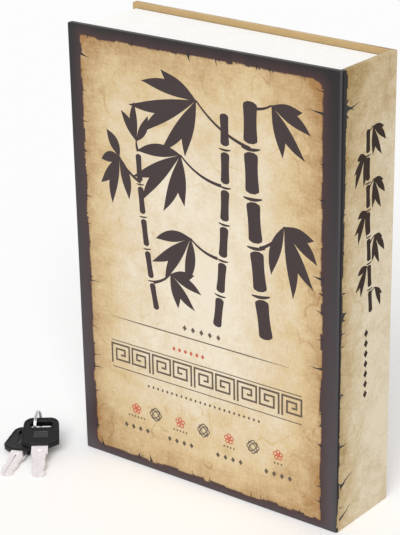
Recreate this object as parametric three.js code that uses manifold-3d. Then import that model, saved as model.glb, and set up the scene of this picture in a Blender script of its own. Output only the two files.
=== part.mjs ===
// A safe disguised as a book. A rigid V-grooved book case wraps a moulded block that looks like pages,
// and the block holds a sheet steel strongbox with a hinged lid, a cam lock and two keys on a ring.
// Millimetres, +Z up. The book stands on its tail edge: its front cover faces -Y and its spine is at +X.
// The origin is the middle of the back cover's tail edge, in the mid-plane of the back board.

import * as THREE from 'three';
import { mergeVertices } from 'three/addons/utils/BufferGeometryUtils.js';
import Module from 'manifold-3d';

// Page block and case
const blockWidth = 152;
const blockHeight = 229;
const blockDepth = 36.6;
const boardOverhang = 3;
const boardThickness = 2.5;
const boardCornerRadius = 1.2;
const coverPaper = 0.3;
const linerPaper = 0.3;
const glueLine = 0.1;
const turnInWidth = 15;
const linerMargin = 3;
const spineClearance = 0.3;
const coverClearance = 0.4;
const grooveSetback = 0.15;
const coverAjarDegrees = 2.7;

// Moulding of the page block
const leafPitch = 2;
const leafLine = 0.5;
const blockOuterWall = 3.2;
const blockInnerWall = 2.4;
const blockRibThickness = 2;
const blockTallRibs = 5;
const blockCrossRibs = 7;
const screwBossWidth = 8;

// Strongbox
const headRimWidth = 14.5;
const foreRimWidth = 18;
const sheet = 1;
const trayCornerRadius = 3;
const lipWidth = 6;
const spineRimWidth = 13;
const trayGap = 0.5;
const hingeWell = 5;
const lidRecess = 3;
const hemWidth = 7;

// Piano hinge
const hingeEndSetback = 10;
const hingeLeaf = 0.6;
const hingeLeafGap = 0.3;
const hingeLeafOverlap = 5.5;
const knuckleRadius = 1.6;
const knuckleBoreRadius = 1;
const hingePinRadius = 0.8;
const knuckleCount = 9;
const knuckleGap = 0.3;

// Cam lock
const lockSetback = 19;
const lockHeadRadius = 9;
const lockHeadThickness = 2;
const lockHeadChamfer = 0.6;
const lockBodyRadius = 7.3;
const lockBodyFlat = 6.5;
const lockBodyLength = 18;
const lockFit = 0.1;
const lockHoleFit = 0.2;
const plugRadius = 4.8;
const plugCollarRadius = 6;
const plugCollarThickness = 1;
const plugFaceInset = 0.2;
const plugTail = 0.3;
const waferGrooveDepth = 1.2;
const waferThickness = 0.9;
const waferWidth = 5.4;
const waferPitch = 2.6;
const waferStart = 1.4;
const waferCount = 5;
const waferFit = 0.1;
const nutAcrossFlats = 18;
const nutThickness = 3;
const lockWasherRadius = 9.6;
const lockWasherThickness = 0.8;
const camThickness = 1.5;
const camHubRadius = 7;
const camTipRadius = 5;
const camLength = 21;
const camTangSide = 6.4;
const camSlotFit = 0.6;
const camScrewRadius = 1.9;
const camScrewLength = 5;
const keywayEndWall = 0.5;
const camScrewHeadRadius = 3.6;
const camScrewHeadHeight = 1.6;
const camWasherRadius = 5;
const camWasherThickness = 0.8;

// Screws that hold the tray in the page block
const traySpread = 35;
const screwRadius = 1.6;
const screwLength = 10;
const screwHeadRadius = 3.2;
const screwHeadHeight = 1.8;
const screwFit = 0.15;

// Keys
const keyThickness = 1.8;
const bladeWidth = 7;
const bladeTip = 1.6;
const keywayFit = 0.1;
const shoulderWidth = 8.8;
const shoulderLength = 6.8;
const bladeGrooveWidth = 1.4;
const bladeGrooveDepth = 0.4;
const cutLand = 1.3;
const cutUnit = 0.45;
const keyHeadThickness = 2.8;
const keyRimHeight = 0.3;
const keyRimWidth = 1.1;
const keyHeadTopHalf = 9.3;
const keyHeadBaseHalf = 10.2;
const keyHeadAboveSlot = 5.6;
const keyHeadBelowSlot = 12.7;
const keyHeadFoot = 2.9;
const keyHeadFootHalf = 4.8;
const keyHeadTopRadius = 5;
const keyHeadBaseRadius = 1.2;
const keySlotWidth = 12.4;
const keySlotHeight = 4.4;
const keyLabelWidth = 7.6;
const keyLabelHeight = 4.6;
const keyLabelDrop = 7.4;
const keyLabelDepth = 0.25;
const keyTangLength = 9;
const keyTangFit = 0.1;

// Split ring and how the keys lie beside the book
const ringRadius = 7.6;
const ringWireRadius = 0.45;
const ringWirePitch = 0.8;
const ringX = -106.6;
const ringY = -59.8;
const ringHeadingDegrees = -58;
const ringFloorGap = 0.05;
const lowerKeyHeadLift = 2.6;
const keyStackGap = 0.7;
const keySplayDegrees = 16;
const keySideOffset = 3.5;
const lowerSlotToRing = 5.8;
const upperSlotToRing = 6.8;

// Depth of key cut at each wafer, in cut units, and the side of the blade that is cut
const cutDepthShares = [2, 3, 1, 3, 2];
const cutSides = [1, -1, 1, 1, -1];

// One overrun for every cut, and the number of facets round a full circle
const overrun = 2;
const facets = 32;
const smallFacets = 20;
const cornerFacets = 8;
const wireFacets = 5;

// Sizes worked out from those above
const panelDepth = 2 * coverPaper + boardThickness + 3 * glueLine + linerPaper;
const caseWidth = boardOverhang + blockWidth + spineClearance + panelDepth;
const caseHeight = blockHeight + 2 * boardOverhang;
const caseThickness = 2 * panelDepth + glueLine + blockDepth + coverClearance;
const spineFaceX = caseWidth / 2;
const backFaceY = boardThickness / 2 + glueLine + coverPaper;
const frontFaceY = backFaceY - caseThickness;
const midZ = caseHeight / 2;

const blockBackY = backFaceY - panelDepth - glueLine;
const blockFrontY = blockBackY - blockDepth;
const blockRightX = spineFaceX - panelDepth - spineClearance;
const blockLeftX = blockRightX - blockWidth;

const trayRightX = blockRightX - spineRimWidth - hingeWell;
const trayLeftX = blockLeftX + foreRimWidth;
const trayMidX = (trayLeftX + trayRightX) / 2;
const trayLowZ = boardOverhang + headRimWidth;
const trayHighZ = boardOverhang + blockHeight - headRimWidth;
const hingeLength = trayHighZ - trayLowZ - 2 * hingeEndSetback;

const lidSeatGap = 2 * hingeLeaf + hingeLeafGap;
const lidOuterY = blockFrontY + lidRecess;
const lidInnerY = lidOuterY + sheet;
const lipOuterY = lidInnerY + lidSeatGap;
const hingeAxisX = trayRightX + knuckleGap + knuckleRadius;
const hingeAxisY = lipOuterY - lidSeatGap / 2;

const lockX = trayLeftX + lockSetback;
const camFrontY = lidOuterY + lockBodyLength + plugTail;
const plugFaceY = lidOuterY - lockHeadThickness + plugFaceInset;
const shoulderFromSlot = keyHeadBelowSlot + keyHeadFoot + shoulderLength;
const bladeLength = camFrontY + camThickness - camScrewLength - keywayEndWall - plugFaceY;
const keyReach = shoulderFromSlot + bladeLength;

const wasm = await Module();
wasm.setup();

// Turns a closed three.js geometry into a solid that can be joined and cut.
function solid(geometry) {
  const bare = geometry.clone();
  bare.deleteAttribute('normal');
  bare.deleteAttribute('uv');
  const merged = mergeVertices(bare);
  return new wasm.Manifold(new wasm.Mesh({
    numProp: 3,
    vertProperties: new Float32Array(merged.attributes.position.array),
    triVerts: new Uint32Array(merged.index.array),
  }));
}

// Turns a solid back into a geometry with flat facets.
function facetedGeometry(body) {
  const mesh = body.getMesh();
  const geometry = new THREE.BufferGeometry();
  geometry.setAttribute('position', new THREE.BufferAttribute(new Float32Array(mesh.vertProperties), 3));
  geometry.setIndex(new THREE.BufferAttribute(new Uint32Array(mesh.triVerts), 1));
  const faceted = geometry.toNonIndexed();
  faceted.computeVertexNormals();
  return faceted;
}

function joined(bodies) {
  return bodies.reduce((sum, body) => sum.add(body));
}

// A box between two corners.
function box(lowX, highX, lowY, highY, lowZ, highZ) {
  const geometry = new THREE.BoxGeometry(highX - lowX, highY - lowY, highZ - lowZ);
  geometry.translate((lowX + highX) / 2, (lowY + highY) / 2, (lowZ + highZ) / 2);
  return solid(geometry);
}

// A cylinder along Y or along Z, between two places on its axis.
function barY(radius, lowY, highY, x, z, sides = facets) {
  const geometry = new THREE.CylinderGeometry(radius, radius, highY - lowY, sides);
  geometry.translate(x, (lowY + highY) / 2, z);
  return solid(geometry);
}

function barZ(radius, lowZ, highZ, x, y, sides = facets) {
  const geometry = new THREE.CylinderGeometry(radius, radius, highZ - lowZ, sides);
  geometry.rotateX(Math.PI / 2);
  geometry.translate(x, y, (lowZ + highZ) / 2);
  return solid(geometry);
}

// An outline drawn in X and Y, raised along Z.
function prismZ(shape, lowZ, highZ) {
  const geometry = new THREE.ExtrudeGeometry(shape, {
    depth: highZ - lowZ,
    bevelEnabled: false,
    curveSegments: cornerFacets,
  });
  geometry.translate(0, 0, lowZ);
  return solid(geometry);
}

// An outline drawn in X and Z, thickened along Y.
function prismY(shape, lowY, highY) {
  const geometry = new THREE.ExtrudeGeometry(shape, {
    depth: highY - lowY,
    bevelEnabled: false,
    curveSegments: cornerFacets,
  });
  geometry.rotateX(Math.PI / 2);
  geometry.translate(0, highY, 0);
  return solid(geometry);
}

// A rectangle with rounded corners.
function roundedRectangle(left, right, low, high, radius) {
  const shape = new THREE.Shape();
  shape.moveTo(left + radius, low);
  shape.lineTo(right - radius, low);
  shape.absarc(right - radius, low + radius, radius, -Math.PI / 2, 0);
  shape.lineTo(right, high - radius);
  shape.absarc(right - radius, high - radius, radius, 0, Math.PI / 2);
  shape.lineTo(left + radius, high);
  shape.absarc(left + radius, high - radius, radius, Math.PI / 2, Math.PI);
  shape.lineTo(left, low + radius);
  shape.absarc(left + radius, low + radius, radius, Math.PI, Math.PI * 1.5);
  return shape;
}

// A polygon whose corners are rounded by a radius each.
function roundedPolygon(corners) {
  const shape = new THREE.Shape();
  corners.forEach((corner, index) => {
    const before = corners[(index + corners.length - 1) % corners.length];
    const after = corners[(index + 1) % corners.length];
    const start = corner.at.clone().add(before.at.clone().sub(corner.at).setLength(corner.radius));
    const end = corner.at.clone().add(after.at.clone().sub(corner.at).setLength(corner.radius));
    if (index === 0) {
      shape.moveTo(start.x, start.y);
    } else {
      shape.lineTo(start.x, start.y);
    }
    shape.quadraticCurveTo(corner.at.x, corner.at.y, end.x, end.y);
  });
  return shape;
}

function material(color, roughness, metalness) {
  return new THREE.MeshStandardMaterial({ color, roughness, metalness });
}

function addPiece(parent, name, body, look) {
  const mesh = new THREE.Mesh(facetedGeometry(body), look);
  mesh.name = name;
  parent.add(mesh);
}

const looks = {
  board: () => material(0x8d8270, 0.9, 0),
  parchment: () => material(0xcbb892, 0.7, 0),
  liner: () => material(0x2b2828, 0.85, 0),
  pages: () => material(0xf4f2ea, 0.6, 0),
  steel: () => material(0x35373a, 0.45, 0.6),
  zinc: () => material(0xb9bcc0, 0.35, 0.9),
  chrome: () => material(0xd5d8da, 0.15, 1),
  brass: () => material(0xc9a558, 0.35, 0.9),
  keyPlastic: () => material(0x232425, 0.5, 0),
};

// Book case

// Each cover and the spine is one panel, built in its own frame: the hinge edge lies on the Z axis, the
// outer face in the plane y = 0, the panel runs to -X and its layers stack towards +Y. The edges that
// meet at a groove are mitred, so that two panels close to a right angle and open out flat.

// One layer of a panel, mitred along the hinge edge and, on the spine, along the other edge as well.
function panelLayer(nearY, farY, width, inset, mitredEnd, margin) {
  const hingeX = (y) => -(grooveSetback + y);
  const endX = (y) => (mitredEnd ? -width + grooveSetback + y : -width + inset);
  const section = new THREE.Shape();
  section.moveTo(hingeX(nearY), nearY);
  section.lineTo(hingeX(farY), farY);
  section.lineTo(endX(farY), farY);
  section.lineTo(endX(nearY), nearY);
  return prismZ(section, margin, caseHeight - margin);
}

// The face of a panel seen square on, with its two free corners rounded, cut back by an inset.
function panelFace(width, inset, mitredEnd, radius) {
  const left = mitredEnd ? -width - overrun : -width + inset;
  const outline = roundedRectangle(left, overrun, inset, caseHeight - inset, radius);
  return prismY(outline, -overrun, panelDepth + overrun);
}

function boardBody(width, mitredEnd) {
  const inset = coverPaper + glueLine;
  const layer = panelLayer(inset, inset + boardThickness, width, inset, mitredEnd, inset);
  return mitredEnd ? layer : layer.intersect(panelFace(width, inset, mitredEnd, boardCornerRadius));
}

// The cover paper folds round the head, the tail and the fore-edge, and is turned in on the inner face.
function coverPaperBody(width, mitredEnd) {
  const innerY = 2 * coverPaper + 2 * glueLine + boardThickness;
  const outerRadius = boardCornerRadius + coverPaper + glueLine;
  const pocketRadius = boardCornerRadius + glueLine;
  const whole = panelLayer(0, innerY, width, 0, mitredEnd, 0);
  const rounded = mitredEnd ? whole : whole.intersect(panelFace(width, 0, mitredEnd, outerRadius));
  const left = mitredEnd ? -width - overrun : -width + coverPaper;
  const pocketFace = roundedRectangle(left, overrun, coverPaper, caseHeight - coverPaper, pocketRadius);
  const pocket = prismY(pocketFace, coverPaper, innerY - coverPaper);
  const windowLeft = mitredEnd ? -width - overrun : -width + turnInWidth;
  const window = box(
    windowLeft, overrun,
    innerY - coverPaper - glueLine, innerY + overrun,
    turnInWidth, caseHeight - turnInWidth,
  );
  return rounded.subtract(pocket).subtract(window);
}

// The liner is pasted down over the turn-ins and fills the step inside them.
function linerBody(width, mitredEnd) {
  const boardInnerY = coverPaper + 2 * glueLine + boardThickness;
  const turnInY = boardInnerY + coverPaper + glueLine;
  const padInset = turnInWidth + glueLine;
  const sheetLayer = panelLayer(
    turnInY, turnInY + linerPaper, width,
    linerMargin, mitredEnd, linerMargin,
  );
  const pad = panelLayer(boardInnerY, turnInY + linerPaper, width, padInset, mitredEnd, padInset);
  return sheetLayer.add(pad);
}

const group = new THREE.Group();

function addPanel(frame, width, mitredEnd, names) {
  addPiece(frame, names.board, boardBody(width, mitredEnd), looks.board());
  addPiece(frame, names.paper, coverPaperBody(width, mitredEnd), looks.parchment());
  addPiece(frame, names.liner, linerBody(width, mitredEnd), looks.liner());
}

const backPanel = new THREE.Group();
backPanel.position.set(spineFaceX, backFaceY, caseHeight);
backPanel.rotation.x = Math.PI;
group.add(backPanel);
addPanel(backPanel, caseWidth, false, {
  board: 'back_board',
  paper: 'back_cover_paper',
  liner: 'back_endpaper',
});

const spinePanel = new THREE.Group();
spinePanel.position.set(spineFaceX, backFaceY, 0);
spinePanel.rotation.z = Math.PI / 2;
group.add(spinePanel);
addPanel(spinePanel, caseThickness, true, {
  board: 'spine_board',
  paper: 'spine_paper',
  liner: 'spine_lining',
});

const frontPanel = new THREE.Group();
frontPanel.position.set(spineFaceX, frontFaceY, 0);
frontPanel.rotation.z = THREE.MathUtils.degToRad(coverAjarDegrees);
group.add(frontPanel);
addPanel(frontPanel, caseWidth, false, {
  board: 'front_board',
  paper: 'front_cover_paper',
  liner: 'front_endpaper',
});

// Page block

const blockLowZ = boardOverhang;
const blockHighZ = boardOverhang + blockHeight;
const windowLeftX = trayLeftX - trayGap;
const windowRightX = trayRightX + hingeWell;
const windowLowZ = trayLowZ - trayGap;
const windowHighZ = trayHighZ + trayGap;

// Bundles of leaves stand proud of a core, so that lines run round the head, fore-edge and tail.
function leafBundles() {
  const bundleCount = Math.round(blockDepth / leafPitch);
  const pitch = (blockDepth + leafLine) / bundleCount;
  const bodies = [box(
    blockLeftX + leafLine, blockRightX,
    blockFrontY, blockBackY,
    blockLowZ + leafLine, blockHighZ - leafLine,
  )];
  for (let index = 0; index < bundleCount; index += 1) {
    const frontY = blockFrontY + index * pitch;
    bodies.push(box(blockLeftX, blockRightX, frontY, frontY + pitch - leafLine, blockLowZ, blockHighZ));
  }
  return joined(bodies);
}

const screwPlaces = [];
for (const z of [trayHighZ, trayLowZ]) {
  for (const side of [-1, 1]) {
    screwPlaces.push({ x: trayMidX + side * traySpread, y: (lipOuterY + blockBackY) / 2, wallZ: z });
  }
}

// The moulding is hollow from the back, stiffened by thin ribs and by a boss behind each screw.
function mouldingHollow() {
  const openBackY = blockBackY + overrun;
  const roofY = blockFrontY + blockInnerWall;
  const around = box(
    blockLeftX + blockOuterWall, blockRightX - blockInnerWall,
    roofY, openBackY,
    blockLowZ + blockOuterWall, blockHighZ - blockOuterWall,
  );
  const inner = box(
    windowLeftX - blockInnerWall, windowRightX + blockInnerWall,
    roofY - overrun, openBackY + overrun,
    windowLowZ - blockInnerWall, windowHighZ + blockInnerWall,
  );
  const webs = [];
  for (let index = 1; index <= blockTallRibs; index += 1) {
    const x = blockLeftX + (index * blockWidth) / (blockTallRibs + 1);
    const half = blockRibThickness / 2;
    webs.push(box(x - half, x + half, roofY - overrun, openBackY + overrun, blockLowZ, blockHighZ));
  }
  for (let index = 1; index <= blockCrossRibs; index += 1) {
    const z = blockLowZ + (index * blockHeight) / (blockCrossRibs + 1);
    const half = blockRibThickness / 2;
    webs.push(box(blockLeftX, blockRightX, roofY - overrun, openBackY + overrun, z - half, z + half));
  }
  for (const place of screwPlaces) {
    const half = screwBossWidth / 2;
    webs.push(box(
      place.x - half, place.x + half,
      roofY - overrun, openBackY + overrun,
      blockLowZ, blockHighZ,
    ));
  }
  return around.subtract(inner).subtract(joined(webs));
}

// The cam swings up from the fore-edge, so its slot reaches further up than down.
const camCrossing = lockSetback - sheet;
const camSlot = {
  lowY: camFrontY - camSlotFit,
  highY: camFrontY + camThickness + camSlotFit,
  lowZ: midZ - camTipRadius - camSlotFit,
  highZ: midZ + Math.sqrt(camLength ** 2 - camCrossing ** 2) + camSlotFit,
};

function pageBlockBody() {
  const window = box(
    windowLeftX, windowRightX,
    blockFrontY - overrun, blockBackY + overrun,
    windowLowZ, windowHighZ,
  );
  const camPocket = box(
    windowLeftX - blockInnerWall - overrun, windowLeftX + overrun,
    camSlot.lowY - camSlotFit, camSlot.highY + camSlotFit,
    camSlot.lowZ - camSlotFit, camSlot.highZ + camSlotFit,
  );
  const screwHoles = screwPlaces.map((place) => {
    const outward = Math.sign(place.wallZ - midZ);
    const near = place.wallZ - outward * overrun;
    const far = place.wallZ + outward * (screwLength + screwFit - sheet);
    const low = Math.min(near, far);
    const high = Math.max(near, far);
    return barZ(screwRadius + screwFit, low, high, place.x, place.y, smallFacets);
  });
  return leafBundles()
    .subtract(window)
    .subtract(mouldingHollow())
    .subtract(camPocket)
    .subtract(joined(screwHoles));
}

addPiece(group, 'page_block', pageBlockBody(), looks.pages());

// Strongbox tray and lid

function trayBody() {
  const outer = prismY(
    roundedRectangle(trayLeftX, trayRightX, trayLowZ, trayHighZ, trayCornerRadius),
    lipOuterY, blockBackY,
  );
  const cavity = prismY(
    roundedRectangle(
      trayLeftX + sheet, trayRightX - sheet,
      trayLowZ + sheet, trayHighZ - sheet,
      trayCornerRadius - sheet,
    ),
    lipOuterY + sheet, blockBackY - sheet,
  );
  const mouth = prismY(
    roundedRectangle(
      trayLeftX + lipWidth, trayRightX - lipWidth,
      trayLowZ + lipWidth, trayHighZ - lipWidth,
      trayCornerRadius,
    ),
    lipOuterY - overrun, lipOuterY + sheet + overrun,
  );
  const slot = box(
    trayLeftX - overrun, trayLeftX + sheet + overrun,
    camSlot.lowY, camSlot.highY, camSlot.lowZ, camSlot.highZ,
  );
  const screwHoles = screwPlaces.map((place) => barZ(
    screwRadius + screwFit,
    place.wallZ - overrun, place.wallZ + overrun,
    place.x, place.y, smallFacets,
  ));
  return outer.subtract(cavity).subtract(mouth).subtract(slot).subtract(joined(screwHoles));
}

// The lock's threaded body has two flats that stop it turning in the lid.
function lockBodyBar(extra, lowY, highY) {
  const round = barY(lockBodyRadius + extra, lowY, highY, lockX, midZ);
  const reach = lockBodyRadius + extra + overrun;
  const half = lockBodyFlat + extra;
  return round.intersect(box(lockX - half, lockX + half, lowY, highY, midZ - reach, midZ + reach));
}

function lidBody() {
  const outline = roundedRectangle(trayLeftX, trayRightX, trayLowZ, trayHighZ, trayCornerRadius);
  const plate = prismY(outline, lidOuterY, lidInnerY);
  const hem = prismY(outline, lidOuterY, lidInnerY + sheet).subtract(box(
    trayLeftX + hemWidth, trayRightX + overrun,
    lidOuterY - overrun, lidInnerY + sheet + overrun,
    trayLowZ + hemWidth, trayHighZ - hemWidth,
  ));
  const lockHole = lockBodyBar(lockHoleFit, lidOuterY - overrun, lidInnerY + overrun);
  return plate.add(hem).subtract(lockHole);
}

addPiece(group, 'strongbox_tray', trayBody(), looks.steel());
addPiece(group, 'strongbox_lid', lidBody(), looks.steel());

// Piano hinge

const knucklePitch = hingeLength / knuckleCount;
const hingeLowZ = midZ - hingeLength / 2;

// One leaf with every second knuckle. The flat is cut back where the other leaf's knuckles turn.
function hingeLeafBody(firstKnuckle, lowY, highY) {
  const leafLeftX = trayRightX - hingeLeafOverlap;
  const bodies = [box(
    leafLeftX, hingeAxisX - knuckleRadius - knuckleGap,
    lowY, highY,
    hingeLowZ, hingeLowZ + hingeLength,
  )];
  for (let index = firstKnuckle; index < knuckleCount; index += 2) {
    const lowZ = hingeLowZ + index * knucklePitch + knuckleGap / 2;
    const highZ = lowZ + knucklePitch - knuckleGap;
    bodies.push(barZ(knuckleRadius, lowZ, highZ, hingeAxisX, hingeAxisY, smallFacets));
    bodies.push(box(leafLeftX, hingeAxisX, lowY, highY, lowZ, highZ));
  }
  const bore = barZ(
    knuckleBoreRadius,
    hingeLowZ - overrun, hingeLowZ + hingeLength + overrun,
    hingeAxisX, hingeAxisY, smallFacets,
  );
  return joined(bodies).subtract(bore);
}

addPiece(group, 'tray_hinge_leaf', hingeLeafBody(0, lipOuterY - hingeLeaf, lipOuterY), looks.zinc());
addPiece(group, 'lid_hinge_leaf', hingeLeafBody(1, lidInnerY, lidInnerY + hingeLeaf), looks.zinc());
addPiece(
  group, 'hinge_pin',
  barZ(hingePinRadius, hingeLowZ, hingeLowZ + hingeLength, hingeAxisX, hingeAxisY, smallFacets),
  looks.zinc(),
);

// Cam lock. Its axis runs along Y through the lid, and it is drawn unlocked, with the cam pointing up.

const lockHeadFrontY = lidOuterY - lockHeadThickness;
const lockTailY = lidOuterY + lockBodyLength;
const collarBackY = plugFaceY + plugCollarThickness;
const waferPlaces = [...Array(waferCount).keys()].map((index) => (
  lidOuterY + waferStart + index * waferPitch
));

function lockBodySolid() {
  const head = new THREE.Shape();
  head.moveTo(0, lockHeadFrontY);
  head.lineTo(lockHeadRadius - lockHeadChamfer, lockHeadFrontY);
  head.lineTo(lockHeadRadius, lockHeadFrontY + lockHeadChamfer);
  head.lineTo(lockHeadRadius, lidOuterY);
  head.lineTo(0, lidOuterY);
  const flange = new THREE.LatheGeometry(head.getPoints(), facets);
  flange.translate(lockX, 0, midZ);
  const bore = barY(plugRadius + lockFit, lockHeadFrontY - overrun, lockTailY + overrun, lockX, midZ);
  const counterbore = barY(
    plugCollarRadius + lockFit,
    lockHeadFrontY - overrun, collarBackY + lockFit,
    lockX, midZ,
  );
  const grooveHalf = waferWidth / 2 + waferFit;
  const grooveReach = plugRadius + waferGrooveDepth;
  const waferGroove = box(
    lockX - grooveHalf, lockX + grooveHalf,
    waferPlaces[0] - waferThickness / 2, waferPlaces[waferCount - 1] + 2 * waferThickness,
    midZ - grooveReach, midZ + grooveReach,
  );
  return solid(flange)
    .add(lockBodyBar(0, lidOuterY - lockHeadThickness / 2, lockTailY))
    .subtract(bore)
    .subtract(counterbore)
    .subtract(waferGroove);
}

function keywayBox(extra, lowY, highY) {
  const halfX = keyThickness / 2 + keywayFit + extra;
  const halfZ = bladeWidth / 2 + keywayFit + extra;
  return box(lockX - halfX, lockX + halfX, lowY, highY, midZ - halfZ, midZ + halfZ);
}

function plugSolid() {
  const collar = barY(plugCollarRadius, plugFaceY, collarBackY, lockX, midZ);
  const barrel = barY(plugRadius, plugFaceY, camFrontY, lockX, midZ);
  const halfTang = camTangSide / 2;
  const tang = box(
    lockX - halfTang, lockX + halfTang,
    camFrontY - overrun, camFrontY + camThickness - lockFit,
    midZ - halfTang, midZ + halfTang,
  );
  const keyway = keywayBox(0, plugFaceY - overrun, plugFaceY + bladeLength + keywayFit);
  const slotHalf = waferWidth / 2 + waferFit;
  const waferSlots = waferPlaces.map((y) => box(
    lockX - slotHalf, lockX + slotHalf,
    y - waferFit, y + waferThickness + waferFit,
    midZ - plugRadius - overrun, midZ + plugRadius + overrun,
  ));
  const screwHole = barY(
    camScrewRadius + lockFit,
    camFrontY + camThickness - camScrewLength, camFrontY + camThickness + overrun,
    lockX, midZ, smallFacets,
  );
  return collar.add(barrel).add(tang).subtract(keyway).subtract(joined(waferSlots)).subtract(screwHole);
}

// A wafer is drawn flush with the plug, as the key holds it.
// Its window is short by the depth of its cut.
function waferSolid(index) {
  const y = waferPlaces[index];
  const half = waferWidth / 2;
  const round = barY(plugRadius - lockFit, y, y + waferThickness, lockX, midZ);
  const reach = plugRadius + overrun;
  const strip = box(lockX - half, lockX + half, y, y + waferThickness, midZ - reach, midZ + reach);
  const halfX = keyThickness / 2 + waferFit;
  const halfZ = bladeWidth / 2 + waferFit;
  const cut = cutDepthShares[index] * cutUnit;
  const up = cutSides[index] > 0 ? halfZ - cut : halfZ;
  const down = cutSides[index] < 0 ? halfZ - cut : halfZ;
  const window = box(
    lockX - halfX, lockX + halfX,
    y - overrun, y + waferThickness + overrun,
    midZ - down, midZ + up,
  );
  return round.intersect(strip).subtract(window);
}

function hexagonPrism(acrossFlats, lowY, highY) {
  return barY(acrossFlats / 2 / Math.cos(Math.PI / 6), lowY, highY, lockX, midZ, 6);
}

const lockWasherBackY = lidInnerY + lockWasherThickness;
const nutBackY = lockWasherBackY + nutThickness;

function camSolid() {
  const outline = new THREE.Shape();
  const tipZ = camLength - camTipRadius;
  const lean = Math.asin((camHubRadius - camTipRadius) / tipZ);
  outline.absarc(0, 0, camHubRadius, Math.PI - lean, 2 * Math.PI + lean);
  outline.absarc(0, tipZ, camTipRadius, lean, Math.PI - lean);
  const geometry = new THREE.ExtrudeGeometry(outline, {
    depth: camThickness,
    bevelEnabled: false,
    curveSegments: facets / 2,
  });
  geometry.rotateX(Math.PI / 2);
  geometry.translate(lockX, camFrontY + camThickness, midZ);
  const halfTang = camTangSide / 2 + lockFit;
  const tangHole = box(
    lockX - halfTang, lockX + halfTang,
    camFrontY - overrun, camFrontY + camThickness + overrun,
    midZ - halfTang, midZ + halfTang,
  );
  return solid(geometry).subtract(tangHole);
}

const camBackY = camFrontY + camThickness;
const camWasherBackY = camBackY + camWasherThickness;

addPiece(group, 'lock_body', lockBodySolid(), looks.chrome());
addPiece(group, 'lock_plug', plugSolid(), looks.chrome());
for (let index = 0; index < waferCount; index += 1) {
  addPiece(group, `lock_wafer_${index + 1}`, waferSolid(index), looks.brass());
}
addPiece(
  group, 'lock_washer',
  barY(lockWasherRadius, lidInnerY, lockWasherBackY, lockX, midZ)
    .subtract(lockBodyBar(lockHoleFit, lidInnerY - overrun, lockWasherBackY + overrun)),
  looks.zinc(),
);
addPiece(
  group, 'lock_nut',
  hexagonPrism(nutAcrossFlats, lockWasherBackY, nutBackY)
    .subtract(barY(lockBodyRadius + lockHoleFit, lidInnerY, nutBackY + overrun, lockX, midZ)),
  looks.zinc(),
);
addPiece(group, 'lock_cam', camSolid(), looks.zinc());
addPiece(
  group, 'cam_washer',
  barY(camWasherRadius, camBackY, camWasherBackY, lockX, midZ)
    .subtract(barY(
      camScrewRadius + lockFit, camBackY - overrun, camWasherBackY + overrun,
      lockX, midZ, smallFacets,
    )),
  looks.zinc(),
);
addPiece(
  group, 'cam_screw',
  barY(
    camScrewHeadRadius, camWasherBackY, camWasherBackY + camScrewHeadHeight,
    lockX, midZ, smallFacets,
  ).add(barY(
    camScrewRadius, camBackY - camScrewLength + lockFit, camWasherBackY + lockFit,
    lockX, midZ, smallFacets,
  )),
  looks.zinc(),
);

// Screws from inside the tray into the page block

screwPlaces.forEach((place, index) => {
  const outward = Math.sign(place.wallZ - midZ);
  const seatZ = place.wallZ - outward * sheet;
  const topZ = seatZ - outward * screwHeadHeight;
  const tipZ = seatZ + outward * screwLength;
  const head = barZ(
    screwHeadRadius,
    Math.min(seatZ, topZ), Math.max(seatZ, topZ),
    place.x, place.y, smallFacets,
  );
  const shank = barZ(
    screwRadius,
    Math.min(topZ, tipZ), Math.max(topZ, tipZ),
    place.x, place.y, smallFacets,
  );
  addPiece(group, `tray_screw_${index + 1}`, head.add(shank), looks.zinc());
});

// Keys. A key is drawn flat in X and Y about the middle of its slot, with the blade towards -Y.

function keyHeadOutline(inset) {
  const top = keyHeadAboveSlot - inset;
  const base = -keyHeadBelowSlot;
  const foot = base - keyHeadFoot + inset;
  const topHalf = keyHeadTopHalf - inset;
  const baseHalf = keyHeadBaseHalf - inset;
  const corner = (x, y, radius) => ({ at: new THREE.Vector2(x, y), radius });
  return roundedPolygon([
    corner(-topHalf, top, keyHeadTopRadius - inset),
    corner(-baseHalf, base, keyHeadBaseRadius),
    corner(-keyHeadFootHalf, foot, keyHeadBaseRadius),
    corner(keyHeadFootHalf, foot, keyHeadBaseRadius),
    corner(baseHalf, base, keyHeadBaseRadius),
    corner(topHalf, top, keyHeadTopRadius - inset),
  ]);
}

function slotOutline(extra) {
  const halfWidth = keySlotWidth / 2 + extra;
  const halfHeight = keySlotHeight / 2 + extra;
  return roundedRectangle(-halfWidth, halfWidth, -halfHeight, halfHeight, halfHeight - glueLine);
}

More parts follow.
